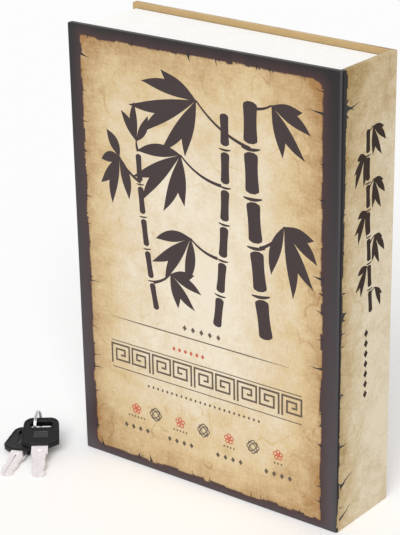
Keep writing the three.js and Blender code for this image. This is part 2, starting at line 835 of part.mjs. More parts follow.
// The moulded head has a raised rim round its edge and round the slot, and a sunk label panel.
function keyHeadSolid() {
  const half = keyHeadThickness / 2;
  const full = half + keyRimHeight;
  const tangHalf = keyThickness / 2 + keyTangFit;
  const plate = prismZ(keyHeadOutline(0), -half, half);
  const edgeRim = prismZ(keyHeadOutline(0), -full, full)
    .subtract(prismZ(keyHeadOutline(keyRimWidth), -full - overrun, full + overrun));
  const slotRim = prismZ(slotOutline(keyRimWidth), -full, full)
    .intersect(prismZ(keyHeadOutline(0), -full, full));
  const slot = prismZ(slotOutline(0), -full - overrun, full + overrun);
  const halfShoulder = shoulderWidth / 2 + keyTangFit;
  const footY = -keyHeadBelowSlot - keyHeadFoot;
  const tangPocket = box(
    -halfShoulder, halfShoulder,
    footY - overrun, footY + keyTangLength + keyTangFit,
    -tangHalf, tangHalf,
  );
  const labels = [-1, 1].map((side) => box(
    -keyLabelWidth / 2, keyLabelWidth / 2,
    -keyLabelDrop - keyLabelHeight / 2, -keyLabelDrop + keyLabelHeight / 2,
    side > 0 ? half - keyLabelDepth : -half - overrun,
    side > 0 ? half + overrun : -half + keyLabelDepth,
  ));
  return plate.add(edgeRim).add(slotRim).subtract(slot).subtract(tangPocket).subtract(joined(labels));
}

// The blank of the blade: a tang that the head is moulded round, a shoulder and a chamfered tip.
function bladeOutline() {
  const footY = -keyHeadBelowSlot - keyHeadFoot;
  const shoulderY = footY - shoulderLength;
  const tipY = shoulderY - bladeLength;
  const half = bladeWidth / 2;
  const halfShoulder = shoulderWidth / 2;
  const outline = new THREE.Shape();
  outline.moveTo(halfShoulder, footY + keyTangLength);
  outline.lineTo(-halfShoulder, footY + keyTangLength);
  outline.lineTo(-halfShoulder, shoulderY);
  outline.lineTo(-half, shoulderY);
  outline.lineTo(-half, tipY + bladeTip);
  outline.lineTo(-half + bladeTip, tipY);
  outline.lineTo(half - bladeTip, tipY);
  outline.lineTo(half, tipY + bladeTip);
  outline.lineTo(half, shoulderY);
  outline.lineTo(halfShoulder, shoulderY);
  return outline;
}

// One cut in the blade's edge, a notch with a flat land under its wafer and flanks at 45 degrees.
function keyCut(index) {
  const shoulderY = -keyHeadBelowSlot - keyHeadFoot - shoulderLength;
  const middle = shoulderY - (waferPlaces[index] + waferThickness / 2 - plugFaceY);
  const side = cutSides[index];
  const half = bladeWidth / 2;
  const depth = cutDepthShares[index] * cutUnit;
  const notch = new THREE.Shape();
  notch.moveTo(side * (half - depth), middle - cutLand / 2);
  notch.lineTo(side * (half + overrun), middle - cutLand / 2 - depth - overrun);
  notch.lineTo(side * (half + overrun), middle + cutLand / 2 + depth + overrun);
  notch.lineTo(side * (half - depth), middle + cutLand / 2);
  return prismZ(notch, -keyThickness, keyThickness);
}

function keyBladeSolid() {
  const half = keyThickness / 2;
  const shoulderY = -keyHeadBelowSlot - keyHeadFoot - shoulderLength;
  const cuts = waferPlaces.map((place, index) => keyCut(index));
  const grooves = [-1, 1].map((side) => box(
    -bladeGrooveWidth / 2, bladeGrooveWidth / 2,
    shoulderY - bladeLength - overrun, shoulderY + shoulderLength / 2,
    side > 0 ? half - bladeGrooveDepth : -half - overrun,
    side > 0 ? half + overrun : -half + bladeGrooveDepth,
  ));
  return prismZ(bladeOutline(), -half, half).subtract(joined(cuts)).subtract(joined(grooves));
}

// The ring stands on edge in the two slots. The lower key's head lies on the ring's wire and its
// blade tip on the floor. The upper key's head lies on the lower head, and its tip on the floor as well.
const keyHalfThickness = keyHeadThickness / 2 + keyRimHeight;
const tipHeight = keyThickness / 2 + ringFloorGap;
const bridgeFromSlot = (keyHeadAboveSlot + keySlotHeight / 2) / 2;
const lowerRise = lowerKeyHeadLift + keyHalfThickness - tipHeight;
const lowerTilt = Math.asin(lowerRise / (keyReach + bridgeFromSlot));
const stackFromTip = keyReach - keyHeadBelowSlot - keyHeadFoot / 2;
const stackHeight = tipHeight + stackFromTip * Math.sin(lowerTilt) + 2 * keyHalfThickness + keyStackGap;
const upperTilt = Math.asin((stackHeight - tipHeight) / stackFromTip);

// A frame whose origin is the slot, raised so that the blade tip just clears the floor.
function keyFrame(side, tilt, slotToRing) {
  const ringHeading = THREE.MathUtils.degToRad(ringHeadingDegrees);
  const heading = ringHeading + side * THREE.MathUtils.degToRad(keySplayDegrees / 2);
  const frame = new THREE.Group();
  frame.position.set(
    ringX + slotToRing * Math.cos(ringHeading) - side * keySideOffset * Math.sin(heading),
    ringY + slotToRing * Math.sin(ringHeading) + side * keySideOffset * Math.cos(heading),
    tipHeight + keyReach * Math.sin(tilt),
  );
  frame.rotation.order = 'ZXY';
  frame.rotation.z = heading + Math.PI / 2;
  frame.rotation.x = tilt;
  return frame;
}

const keyPlaces = [
  { side: -1, tilt: lowerTilt, slotToRing: lowerSlotToRing },
  { side: 1, tilt: upperTilt, slotToRing: upperSlotToRing },
];
keyPlaces.forEach((place, index) => {
  const frame = keyFrame(place.side, place.tilt, place.slotToRing);
  group.add(frame);
  addPiece(frame, `key_${index + 1}_blade`, keyBladeSolid(), looks.chrome());
  addPiece(frame, `key_${index + 1}_head`, keyHeadSolid(), looks.keyPlastic());
});

// Two turns of wire lie side by side, so the ring's section is two circles that meet.
function splitRingSolid() {
  const section = new THREE.Shape();
  const waist = Math.acos(ringWirePitch / 2 / ringWireRadius);
  const half = ringWirePitch / 2;
  section.absarc(ringRadius, half, ringWireRadius, -Math.PI / 2 + waist, Math.PI * 1.5 - waist);
  section.absarc(ringRadius, -half, ringWireRadius, Math.PI / 2 + waist, Math.PI * 2.5 - waist);
  const points = section.getPoints(wireFacets);
  const profile = points.filter((point, index) => (
    index === 0 || point.distanceTo(points[index - 1]) > ringWireRadius / facets
  ));
  if (profile[profile.length - 1].distanceTo(profile[0]) < ringWireRadius / facets) {
    profile.pop();
  }
  profile.push(profile[0].clone());
  return solid(new THREE.LatheGeometry(profile, facets));
}

const ringFrame = new THREE.Group();
ringFrame.position.set(ringX, ringY, ringRadius + ringWireRadius + ringFloorGap);
ringFrame.rotation.z = THREE.MathUtils.degToRad(ringHeadingDegrees);
group.add(ringFrame);
addPiece(ringFrame, 'split_ring', splitRingSolid(), looks.chrome());

export default group;
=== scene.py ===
"""Looks of a safe disguised as a book: printed case, page block, steel strongbox, cam lock and keys.

Lengths are in millimetres and angles in degrees until a mesh is made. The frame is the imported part's: the
book stands on its tail, its front cover faces -Y and its spine is at +X.
"""

import logging
from dataclasses import dataclass, field
from enum import Enum
from functools import partial
from typing import Any, Callable, Protocol

import bpy
import numpy as np
from mathutils import Euler, Matrix


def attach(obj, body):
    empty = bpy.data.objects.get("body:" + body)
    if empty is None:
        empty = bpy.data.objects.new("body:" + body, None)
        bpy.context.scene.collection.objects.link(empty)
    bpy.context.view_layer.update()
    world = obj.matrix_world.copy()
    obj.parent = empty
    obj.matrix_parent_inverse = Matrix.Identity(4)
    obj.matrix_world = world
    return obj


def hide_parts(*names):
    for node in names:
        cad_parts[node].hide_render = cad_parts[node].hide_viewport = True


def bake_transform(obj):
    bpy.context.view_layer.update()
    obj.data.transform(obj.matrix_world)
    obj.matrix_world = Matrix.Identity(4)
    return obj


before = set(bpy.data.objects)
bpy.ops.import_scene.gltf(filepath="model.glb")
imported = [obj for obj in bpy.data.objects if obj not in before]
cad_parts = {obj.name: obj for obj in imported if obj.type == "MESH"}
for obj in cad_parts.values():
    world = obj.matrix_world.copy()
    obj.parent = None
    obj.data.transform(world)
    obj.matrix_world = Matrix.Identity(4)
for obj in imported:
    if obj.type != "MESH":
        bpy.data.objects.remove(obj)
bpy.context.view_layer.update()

MM = 0.001
SEED = 7
LOG = logging.getLogger("book_safe")

# The case at rest: its front cover stands a little ajar, about the fold at the spine's front corner.
AJAR = 2.7
SPINE_X, FRONT_Y, BACK_Y = 79.5, -42.85, 1.65
CASE_WIDTH, CASE_HEIGHT, CASE_THICKNESS = 159.0, 235.0, 44.5

Material = bpy.types.Material
Tree = bpy.types.NodeTree
Pair = tuple[float, float]
Triple = tuple[float, float, float]
# Where a node's input comes from: another node, or one of its outputs.
Source = bpy.types.Node | bpy.types.NodeSocket
# What adds a node to one material: add_node with that material's tree filled in.
Add = Callable[..., bpy.types.Node]


# Colours, nodes and lines


def linear(code: str) -> tuple[float, ...]:
    """Turns an sRGB hex colour into the linear colour that a shader takes, by sRGB's own curve.

    Args:
        code: A colour such as "#c8ad7e".

    Returns:
        Red, green, blue and a full alpha, each from 0 to 1.
    """
    shares = np.array([int(code[i:i + 2], 16) for i in (1, 3, 5)]) / 255
    curve = np.where(shares <= 0.04045, shares / 12.92, ((shares + 0.055) / 1.055) ** 2.4)
    return (*curve.tolist(), 1.0)


def add_node(
    tree: Tree, kind: str, *values: Any, named: dict[str, Any] | None = None, **settings: Any,
) -> bpy.types.Node:
    """Adds one node to a material, with its settings, and fills or links its inputs.

    An input is a number, a vector, an sRGB hex colour, a socket, or a node: that stands for its first
    output in use.

    Args:
        tree: The node tree to add to.
        kind: The node's type, without the "ShaderNode" that they all start with. A math node's
            operation follows after a dot.
        values: Inputs, in the order of the node's sockets in use.
        named: Inputs by name.
        settings: The node's own settings by name.

    Returns:
        The new node.
    """
    kind, _, operation = kind.partition(".")
    made = tree.nodes.new(f"ShaderNode{kind}")
    if operation:
        made.operation = operation
    for name, value in settings.items():
        setattr(made, name, value)
    pairs = list(zip([socket for socket in made.inputs if socket.enabled], values))
    pairs += [(made.inputs[name], value) for name, value in (named or {}).items()]
    for socket, value in pairs:
        if isinstance(value, bpy.types.Node):
            value = next(output for output in value.outputs if output.enabled)
        if isinstance(value, bpy.types.NodeSocket):
            tree.links.new(value, socket)
        else:
            socket.default_value = linear(value) if isinstance(value, str) else value
    return made


def shade(
    add: Add, colour: Source | str, *steps: tuple[Source, float, float, Source | str],
) -> Source | str:
    """Takes a colour through steps: in each, a value that goes from low to high brings in the next colour.

    Args:
        add: Adds a node to the material.
        colour: The first colour.
        steps: For each step its value, low, high and colour.

    Returns:
        The node that gives the last colour.
    """
    for value, low, high, cover in steps:
        share = add("MapRange", value, low, high)
        colour = add("Mix", share, colour, cover, data_type="RGBA")
    return colour


def towards(heading: float | np.ndarray) -> np.ndarray:
    """Unit vectors of headings, anticlockwise from the first axis: the cosine and the sine of each."""
    turn = np.radians(heading)
    return np.stack([np.cos(turn), np.sin(turn)], -1)


def rounding(radius: float, from_end: np.ndarray) -> np.ndarray:
    """How far a rounded edge falls back: radius - sqrt(radius^2 - (radius - distance from its end)^2)."""
    return radius - np.sqrt(radius ** 2 - np.clip(radius - from_end, 0, None) ** 2)


def bent_line(start: np.ndarray | Pair, end: np.ndarray | Pair, bow: float, steps: int) -> np.ndarray:
    """A line bowed to its left: (1-t)^2 start + 2t(1-t) middle + t^2 end.

    The middle point is the midpoint pushed sideways by twice the bow.

    Args:
        start: Its first point.
        end: Its last point.
        bow: How far its middle stands off the straight line.
        steps: How many points.

    Returns:
        The points.
    """
    start, end = np.array(start, float), np.array(end, float)
    t = np.linspace(0, 1, steps)[:, None]
    run = end - start
    aside = np.array([-run[1], run[0]]) / np.linalg.norm(run)
    middle = (start + end) / 2 + 2 * bow * aside
    return (1 - t) ** 2 * start + 2 * t * (1 - t) * middle + t ** 2 * end


# Surfaces


@dataclass
class Skin:
    """Points and faces of one piece, gathered from one or more grids."""

    points: list[np.ndarray] = field(default_factory=list)
    faces: list[list[int]] = field(default_factory=list)
    places: list[np.ndarray] = field(default_factory=list)
    marks: list[int] = field(default_factory=list)

    def grid(
        self, points: np.ndarray, wrap_rows: bool = False, wrap_columns: bool = False, ends: bool = False,
        places: np.ndarray | None = None, marks: np.ndarray | int = 0,
    ) -> "Skin":
        """Adds a grid of points as a surface, and turns its faces outward: its volume is positive.

        Face (i, j) joins points (i, j), (i, j+1), (i+1, j+1) and (i+1, j), and a wrapped side joins its
        last line to its first.

        Args:
            points: An array of rows by columns by three.
            wrap_rows: Whether the last row joins the first.
            wrap_columns: Whether the last column joins the first.
            ends: Whether the first and last rows are closed with a flat face.
            places: Flat coordinates for each point, for patterns that follow the surface.
            marks: The material number of the faces, or of each column's.

        Returns:
            The skin itself.
        """
        rows, columns = points.shape[:2]
        i = np.arange(rows if wrap_rows else rows - 1)[:, None]
        j = np.arange(columns if wrap_columns else columns - 1)[None, :]
        below, right = (i + 1) % rows, (j + 1) % columns
        corners = [i * columns + j, i * columns + right, below * columns + right, below * columns + j]
        faces = np.stack(np.broadcast_arrays(*corners), -1).reshape(-1, 4)
        kinds = np.broadcast_to(marks, (len(i), j.size)).ravel().tolist()
        flat = points.reshape(-1, 3)
        spoke = flat[faces] - flat.mean(0)
        volume = sum((spoke[:, 0] * np.cross(spoke[:, side], spoke[:, side + 1])).sum() for side in (1, 2))
        way = -1 if volume < 0 else 1
        start = sum(map(len, self.points))
        self.faces += (faces + start)[:, ::way].tolist()
        self.marks += kinds
        if ends:
            first = start + np.arange(columns)
            last = first + (rows - 1) * columns
            self.faces += [first[::-way].tolist(), last[::way].tolist()]
            self.marks += kinds[:1] * 2
        self.points.append(flat)
        self.places.append(np.zeros((len(flat), 2)) if places is None else places.reshape(-1, 2))
        return self

    def piece(self, name: str, finishes: list[Material], crease: float = 35) -> bpy.types.Object:
        """Makes the gathered surfaces one object, in metres, with its place in its mesh.

        Args:
            name: The piece's name.
            finishes: Its materials, in the order that the marks count them.
            crease: The angle past which an edge stays sharp.

        Returns:
            The new object.
        """
        mesh = bpy.data.meshes.new(name)
        mesh.from_pydata((np.concatenate(self.points) * MM).tolist(), [], self.faces)
        corners = np.zeros(len(mesh.loops), int)
        mesh.loops.foreach_get("vertex_index", corners)
        flat = mesh.uv_layers.new(name="panel")
        flat.data.foreach_set("uv", (np.concatenate(self.places) * MM)[corners].ravel())
        mesh.polygons.foreach_set("material_index", self.marks)
        mesh.polygons.foreach_set("use_smooth", [True] * len(mesh.polygons))
        mesh.set_sharp_from_angle(angle=np.radians(crease))
        mesh.validate()
        for finish in finishes:
            mesh.materials.append(finish)
        made = bpy.data.objects.new(name, mesh)
        bpy.context.scene.collection.objects.link(made)
        LOG.info("%s: %d faces", name, len(mesh.polygons))
        return made


# Finishes


@dataclass(frozen=True)
class Finish:
    """Base of the finishes: a material with one Principled shader."""

    name: str

    def inputs(self, add: Add) -> dict[str, Any]:
        """Adds the material's nodes and gives the shader's inputs by name."""
        raise NotImplementedError

    def make(self) -> Material:
        """Builds the material.

        Returns:
            The material.
        """
        made = bpy.data.materials.new(self.name)
        made.use_nodes = True
        made.node_tree.nodes.clear()
        add = partial(add_node, made.node_tree)
        add("OutputMaterial", add("BsdfPrincipled", named=self.inputs(add)))
        return made


@dataclass(frozen=True)
class Speckled(Finish):
    """A moulded, coated or plated surface whose tone and relief come from grain of a real size.

    Two noises are read, at the grain's and at the cloud's size. The first lifts the surface and varies its
    gloss. The second drifts the colour from its dark to its light tone. A grain too fine to be seen is
    drawn as coarse as it needs to show.
    """

    dark: str
    light: str
    grain: float = 0.6
    grain_depth: float = 0.004
    cloud: float = 30
    roughness: float = 0.5
    roughness_spread: float = 0.08
    metallic: float = 0.0
    ior: float = 1.5
    specular: float = 0.5
    stretch: Triple = (1, 1, 1)
    grain_detail: float = 3
    cloud_detail: float = 4

    def inputs(self, add: Add) -> dict[str, Any]:
        """Works out what the shader takes. A metal keeps the shader's own IOR.

        Args:
            add: Adds a node to the material.

        Returns:
            The shader's inputs by name.
        """
        place = add("TexCoord").outputs["Object"]
        drawn = add("Mapping", place, named={"Scale": self.stretch})
        fine = add("TexNoise", drawn, 1 / (self.grain * MM), self.grain_detail)
        broad = add("TexNoise", place, 1 / (self.cloud * MM), self.cloud_detail)
        gloss = (self.roughness - self.roughness_spread, self.roughness + self.roughness_spread)
        made = {
            "Base Color": add("Mix", broad, self.dark, self.light, data_type="RGBA"),
            "Roughness": add("MapRange", fine, 0.0, 1.0, *gloss),
            "Normal": add("Bump", named={"Height": fine, "Distance": self.grain_depth * MM}),
            "Metallic": self.metallic,
        }
        if not self.metallic:
            made |= {"IOR": self.ior, "Specular IOR Level": self.specular}
        return made


@dataclass(frozen=True)
class Labelled(Speckled):
    """A moulded surface with one smooth rectangular patch, where the mould has a polished insert.

    What the eye gets: the patch is glossier than the sparked plastic round it, and its colour is painted
    lighter, as a painted sheen.
    """

    patch_middle: Pair = (0, 0)
    patch_size: Pair = (7, 4)
    # Painted sheen: a lighter colour that stands for the polished patch's gloss.
    patch_painted_sheen: str = "#343536"
    patch_roughness: float = 0.22

    def inputs(self, add: Add) -> dict[str, Any]:
        """Works out what the shader takes.

        The patch is where the flat coordinates' distance from its middle is under half its size both ways.

        Args:
            add: Adds a node to the material.

        Returns:
            The shader's inputs by name.
        """
        made = super().inputs(add)
        middle = (*(side * MM for side in self.patch_middle), 0.0)
        half = (*(side / 2 * MM for side in self.patch_size), 1.0)
        centred = add("VectorMath.SUBTRACT", add("UVMap", uv_map="panel"), middle)
        away = add("VectorMath.ABSOLUTE", centred)
        x, y, _ = add("SeparateXYZ", add("VectorMath.DIVIDE", away, half)).outputs
        larger = add("Math.MAXIMUM", x, y)
        patch = add("Math.LESS_THAN", larger, 1.0)
        # The patch takes the lighter colour of its painted sheen and a lower roughness.
        made["Base Color"] = shade(add, made["Base Color"], (patch, 0.0, 1.0, self.patch_painted_sheen))
        made["Roughness"] = add("MapRange", patch, 0.0, 1.0, made["Roughness"], self.patch_roughness)
        return made


@dataclass(frozen=True)
class OffsetInk(Speckled):
    """Offset printing ink under the cover's satin film.

    What the eye gets: a flat dark or red tone that drifts a little as the ink lay on unevenly, with the
    film's low gloss. The grain stands for the film's texture, which is finer than it is drawn.
    """

    cloud: float = 22
    roughness: float = 0.42
    roughness_spread: float = 0.05


@dataclass(frozen=True)
class Metal(Speckled):
    """A plated, cast or drawn metal."""

    metallic: float = 1.0
    roughness_spread: float = 0.1


@dataclass(frozen=True)
class Clumps:
    """One noise of the print: its clumps' size, how often they are halved and added, and its strength.

    The coarseness is what each halving keeps of the strength.
    """

    size: float
    detail: float
    strength: float
    coarseness: float = 0.62

    @property
    def grain(self) -> Triple:
        """The noise's scale, detail and roughness."""
        return 1 / (self.size * MM), self.detail, self.coarseness


class Edging(Enum):
    """Where a printed panel has its dark torn edging."""

    ALL_ROUND = "all round"
    HINGE_SIDE = "hinge side"
    NONE = "none"


@dataclass(frozen=True)
class Parchment(Finish):
    """Offset print of old parchment with a burnt, torn edge, on paper under a satin film.

    What the eye gets: a pale middle that drifts to tan and to brown at the corners, in clouds and small
    stains over a faint weave, with a dark surround whose torn edge has slow drifts, bites and fine nicks.
    The film gives the whole print the same low, even gloss. The weave's threads are drawn a millimetre
    wide, coarser than a sheet's fibres, so that they show.

    Places along the panel and up it are its flat coordinates, from the fold's corner and the tail.
    """

    edging: Edging = Edging.NONE
    frame_low: Pair = (9.9, 4.7)
    frame_high: Pair = (151, 229.5)
    lean: float = 0.0
    round_corner: float = 5
    tight_corner: float = 0.6

    fade_middle: Pair = (82, 118)
    fade_half: Pair = (68, 113)
    fade_gain: float = 0.66
    mottle: float = 1.0
    clouds: Clumps = Clumps(30, 6, 0.8)
    stains: Clumps = Clumps(8, 8, 0.55)
    specks: Clumps = Clumps(1.6, 4, 0.42)
    threads: Clumps = Clumps(7, 3, 0.24)
    thread_stretch: float = 7
    thread_depth: float = 0.012
    creases: Clumps = Clumps(38, 2, 0.26)
    crease_width: float = 0.010
    crease_patches: Clumps = Clumps(22, 2, 1.0)
    patch_range: Pair = (0.45, 0.65)
    patch_shift: Triple = (0.3, 0.3, 0.0)

    drift: Clumps = Clumps(24, 2, 2.2)
    nicks: Clumps = Clumps(0.9, 4, 0.75)
    bites: Clumps = Clumps(3.4, 3, 1.7)
    bite_range: Pair = (0.6, 0.76)
    flake_size: float = 6.5
    flake_depth: float = 1.5
    flake_jag: float = 2.4
    flake_detail: float = 3
    edge_softness: float = 0.15
    burn: float = 1.0
    burn_width: float = 1.0
    burn_power: float = 1.5
    burn_full: float = 0.9
    aged_width: float = 8
    aged_strength: float = 0.06
    warm_width: float = 7
    warm_power: float = 1.6
    # Span from the fold's corner, in mm, over which the painted highlight of the rounded fold fades into
    # the surround.
    painted_highlight_span: Pair = (1.0, 1.7)

    pale: str = "#dfd4bf"
    tan: str = "#ccb387"
    brown: str = "#9c7341"
    burnt: str = "#6f4a2a"
    border: str = "#151011"
    border_low: str = "#484043"
    border_warm: str = "#3f2726"
    # Painted highlight: the lighter tone that stands for the light the front fold's rounded edge catches.
    fold_painted_highlight: str = "#3d3b3e"
    roughness: float = 0.42
    ior: float = 1.46
    specular: float = 0.45

    def frame_distance(self, add: Add, flat: Source) -> Source:
        """Signed distance in metres to the straight frame, less than zero inside the parchment.

        At the hinge side alone it is the frame's place, which leans with the height, less the place along.
        Otherwise it is the length of the part outside the rounded frame, plus the larger side inside it,
        less the corner radius, which is tight at two corners and round at the other two.

        Args:
            add: Adds a node to the material.
            flat: The flat coordinates.

        Returns:
            The distance's node.
        """
        if self.edging is Edging.HINGE_SIDE:
            along, up, _ = add("SeparateXYZ", flat).outputs
            edge = add("Math.MULTIPLY_ADD", up, self.lean, self.frame_low[0] * MM)
            return add("Math.SUBTRACT", edge, along)
        low, high = np.array(self.frame_low) * MM, np.array(self.frame_high) * MM
        centred = add("VectorMath.SUBTRACT", flat, (*(low + high) / 2, 0.0))
        x, y, _ = add("SeparateXYZ", centred).outputs
        round_side = add("Math.LESS_THAN", add("Math.MULTIPLY", x, y), 0.0)
        radius = add("MapRange", round_side, 0.0, 1.0, self.tight_corner * MM, self.round_corner * MM)
        corner = add("CombineXYZ", radius, radius)
        inset = add("VectorMath.SUBTRACT", (*(high - low) / 2, 0.0), corner)
        past = add("VectorMath.SUBTRACT", add("VectorMath.ABSOLUTE", centred), inset)
        outside = add("VectorMath.LENGTH", add("VectorMath.MAXIMUM", past, (0.0, 0.0, 0.0)))
        past_x, past_y, _ = add("SeparateXYZ", past).outputs
        inside = add("Math.MINIMUM", add("Math.MAXIMUM", past_x, past_y), 0.0)
        return add("Math.SUBTRACT", add("Math.ADD", outside, inside), radius)

    def torn(self, add: Add, flat: Source, distance: Source) -> Source:
        """Wavers the distance to the frame as a torn edge does.

        distance + drift x (slow noise - 1/2) + nick x (fine noise - 1/2) + flake x (the chance value of
        the nearest of scattered points - 1/2) + bite x how far the middle noise passes its threshold.

        Args:
            add: Adds a node to the material.
            flat: The flat coordinates.
            distance: The distance to the straight frame.

        Returns:
            The node of the distance to the torn edge.
        """
        jag = add("TexNoise", flat, 1 / (self.flake_jag * MM), self.flake_detail).outputs["Color"]
        shift = (self.flake_jag * MM, self.flake_jag * MM, 0.0)
        shifted = add("VectorMath.MULTIPLY_ADD", jag, shift, flat)
        flakes = add("TexVoronoi", shifted, 1 / (self.flake_size * MM), voronoi_dimensions="2D")
        bites = add("TexNoise", flat, *self.bites.grain)
        for waver, depth in (
            (add("TexNoise", flat, *self.drift.grain), self.drift.strength),
            (add("TexNoise", flat, *self.nicks.grain), self.nicks.strength),
            (flakes.outputs["Color"], self.flake_depth),
            (add("MapRange", bites, *self.bite_range, 0.5, 1.5), self.bites.strength),
        ):
            centred = add("Math.SUBTRACT", waver, 0.5)
            distance = add("Math.MULTIPLY_ADD", centred, depth * MM, distance)
        return distance

    def crease_lines(self, add: Add, flat: Source) -> Source:
        """Fine crease lines in patches.

        A line runs wherever a slow noise passes one half: its strength is one less the noise's distance
        from a half over the line's width. A second noise leaves the lines in some places only.

        Args:
            add: Adds a node to the material.
            flat: The flat coordinates.

        Returns:
            The node of their strength, from 0 to 1.
        """
        slow = add("TexNoise", flat, *self.creases.grain)
        away = add("Math.ABSOLUTE", add("Math.SUBTRACT", slow, 0.5))
        line = add("MapRange", away, 0.0, self.crease_width, 1.0, 0.0)
        shifted = add("VectorMath.ADD", flat, self.patch_shift)
        patches = add("TexNoise", shifted, *self.crease_patches.grain)
        shown = add("MapRange", patches, *self.patch_range)
        return add("Math.MULTIPLY", line, shown)

    def fade(self, add: Add, flat: Source) -> Source:
        """How aged a place is: 0 in the panel's pale middle and more towards its sides and corners.

        The flat coordinates are centred, divided by the half sizes and squared, and their length is taken.

        Args:
            add: Adds a node to the material.
            flat: The flat coordinates.

        Returns:
            The node of that share.
        """
        middle = (*(side * MM for side in self.fade_middle), 0.0)
        half = (*(side * MM for side in self.fade_half), 1.0)
        centred = add("VectorMath.SUBTRACT", flat, middle)
        shares = add("VectorMath.DIVIDE", centred, half)
        squared = add("VectorMath.MULTIPLY", shares, shares)
        return add("Math.MULTIPLY", add("VectorMath.LENGTH", squared), self.fade_gain)

    def surround(self, add: Add, flat: Source, distance: Source) -> Source:
        """Colour of the dark surround: lighter at the tail, warm by the parchment, with a painted highlight
        along the fold's rounded edge.

        Args:
            add: Adds a node to the material.
            flat: The flat coordinates.
            distance: The distance to the torn edge.

        Returns:
            The colour's node.
        """
        along, up, _ = add("SeparateXYZ", flat).outputs
        warmth = add("Math.POWER", add("MapRange", distance, self.warm_width * MM, 0.0), self.warm_power)
        dark = shade(
            add, self.border_low,
            (up, 0.0, CASE_HEIGHT * MM, self.border), (warmth, 0.0, 1.0, self.border_warm),
        )
        # Painted highlight: a lighter band just off the fold's corner stands for the light that the rounded
        # fold catches.
        if self.edging is Edging.ALL_ROUND:
            highlight_end, border_from = self.painted_highlight_span
            dark = shade(add, self.fold_painted_highlight, (along, highlight_end * MM, border_from * MM, dark))
        return dark

    def inputs(self, add: Add) -> dict[str, Any]:
        """Works out what the shader takes.

        The age is the fade plus, for each layer, its strength times how far it is from its middle value.
        As the age goes from 0 to a half the colour goes from pale to tan, and by 1 to brown. Just inside
        the torn edge it is singed by burn share^power x stains, and past the edge it is the surround's.

        Args:
            add: Adds a node to the material.

        Returns:
            The shader's inputs by name.
        """
        flat = add("UVMap", uv_map="panel")
        stains = add("TexNoise", flat, *self.stains.grain)
        fibres = [
            add("TexNoise", add("Mapping", flat, named={"Scale": stretch}), *self.threads.grain)
            for stretch in ((1, self.thread_stretch, 1), (self.thread_stretch, 1, 1))
        ]
        weave = add("Math.ADD", *fibres)
        layers = [
            (add("TexNoise", flat, *self.clouds.grain), 0.5, self.mottle * self.clouds.strength),
            (stains, 0.5, self.mottle * self.stains.strength),
            (add("TexNoise", flat, *self.specks.grain), 0.5, self.mottle * self.specks.strength),
            (weave, 1.0, self.mottle * self.threads.strength),
            (self.crease_lines(add, flat), 0.0, self.creases.strength),
        ]
        edged = self.edging is not Edging.NONE
        if edged:
            distance = self.torn(add, flat, self.frame_distance(add, flat))
            aged = add("MapRange", distance, -self.aged_width * MM, 0.0)
            layers.append((aged, 0.0, self.burn * self.aged_strength))
        age = self.fade(add, flat)
        for layer, middle, strength in layers:
            waver = add("Math.SUBTRACT", layer, middle)
            age = add("Math.MULTIPLY_ADD", waver, strength, age)
        colour = shade(add, self.pale, (age, 0.0, 0.5, self.tan), (age, 0.5, 1.0, self.brown))
        if edged:
            burn = add("Math.POWER", add("MapRange", distance, -self.burn_width * MM, 0.0), self.burn_power)
            singed = add("Math.MULTIPLY", burn, stains)
            soft = self.edge_softness * MM
            colour = shade(
                add, colour, (singed, 0.0, self.burn_full / self.burn, self.burnt),
                (distance, -soft, soft, self.surround(add, flat, distance)),
            )
        return {
            "Base Color": colour, "Roughness": self.roughness, "IOR": self.ior,
            "Specular IOR Level": self.specular,
            "Normal": add("Bump", named={"Height": weave, "Distance": self.thread_depth * MM}),
        }


# Sub-assemblies

Finishes = tuple[tuple[Finish, tuple[str, ...]], ...]


@dataclass
class SubAssembly:
    """Base of the sub-assemblies: each finish, and the frame's own pieces that it is given to."""

    finishes: Finishes = ()

    def build(self) -> None:
        """Gives each of the frame's pieces its finish."""
        for finish, nodes in self.finishes:
            made = finish.make()
            for node in nodes:
                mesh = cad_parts[node].data
                mesh.materials.clear()
                mesh.materials.append(made)
                LOG.info("%s: %s", node, finish.name)


# Book case


@dataclass(frozen=True)
class Panel:
    """One panel of the case: its outer face starts at a fold's corner and runs along a heading.

    Its far end is a fold too or a free edge. Its print is drawn from its left side, seen from outside,
    which is the corner or the far end.
    """

    body: str
    corner: Pair
    heading: float
    outward: float
    width: float
    far_fold: bool = False
    drawn_from_far: bool = False

    def place(self, along: np.ndarray, height: np.ndarray, depth: np.ndarray) -> np.ndarray:
        """Puts flat coordinates of the panel into the frame.

        point = corner + along x heading - depth x outward, at that height.

        Args:
            along: Distances from the fold's corner.
            height: Heights above the tail.
            depth: Distances inward from the outer face.

        Returns:
            Points, with one more dimension than the inputs.
        """
        run, out = towards(self.heading), towards(self.outward)
        x, y = (self.corner[side] + along * run[side] - depth * out[side] for side in (0, 1))
        return np.stack(np.broadcast_arrays(x, y, height), -1)


FRONT = Panel("front_cover", (SPINE_X, FRONT_Y), 180 + AJAR, 270 + AJAR, CASE_WIDTH, drawn_from_far=True)
SPINE = Panel("spine", (SPINE_X, FRONT_Y), 90, 0, CASE_THICKNESS, far_fold=True)
BACK = Panel("safe_body", (SPINE_X, BACK_Y), 180, 90, CASE_WIDTH)


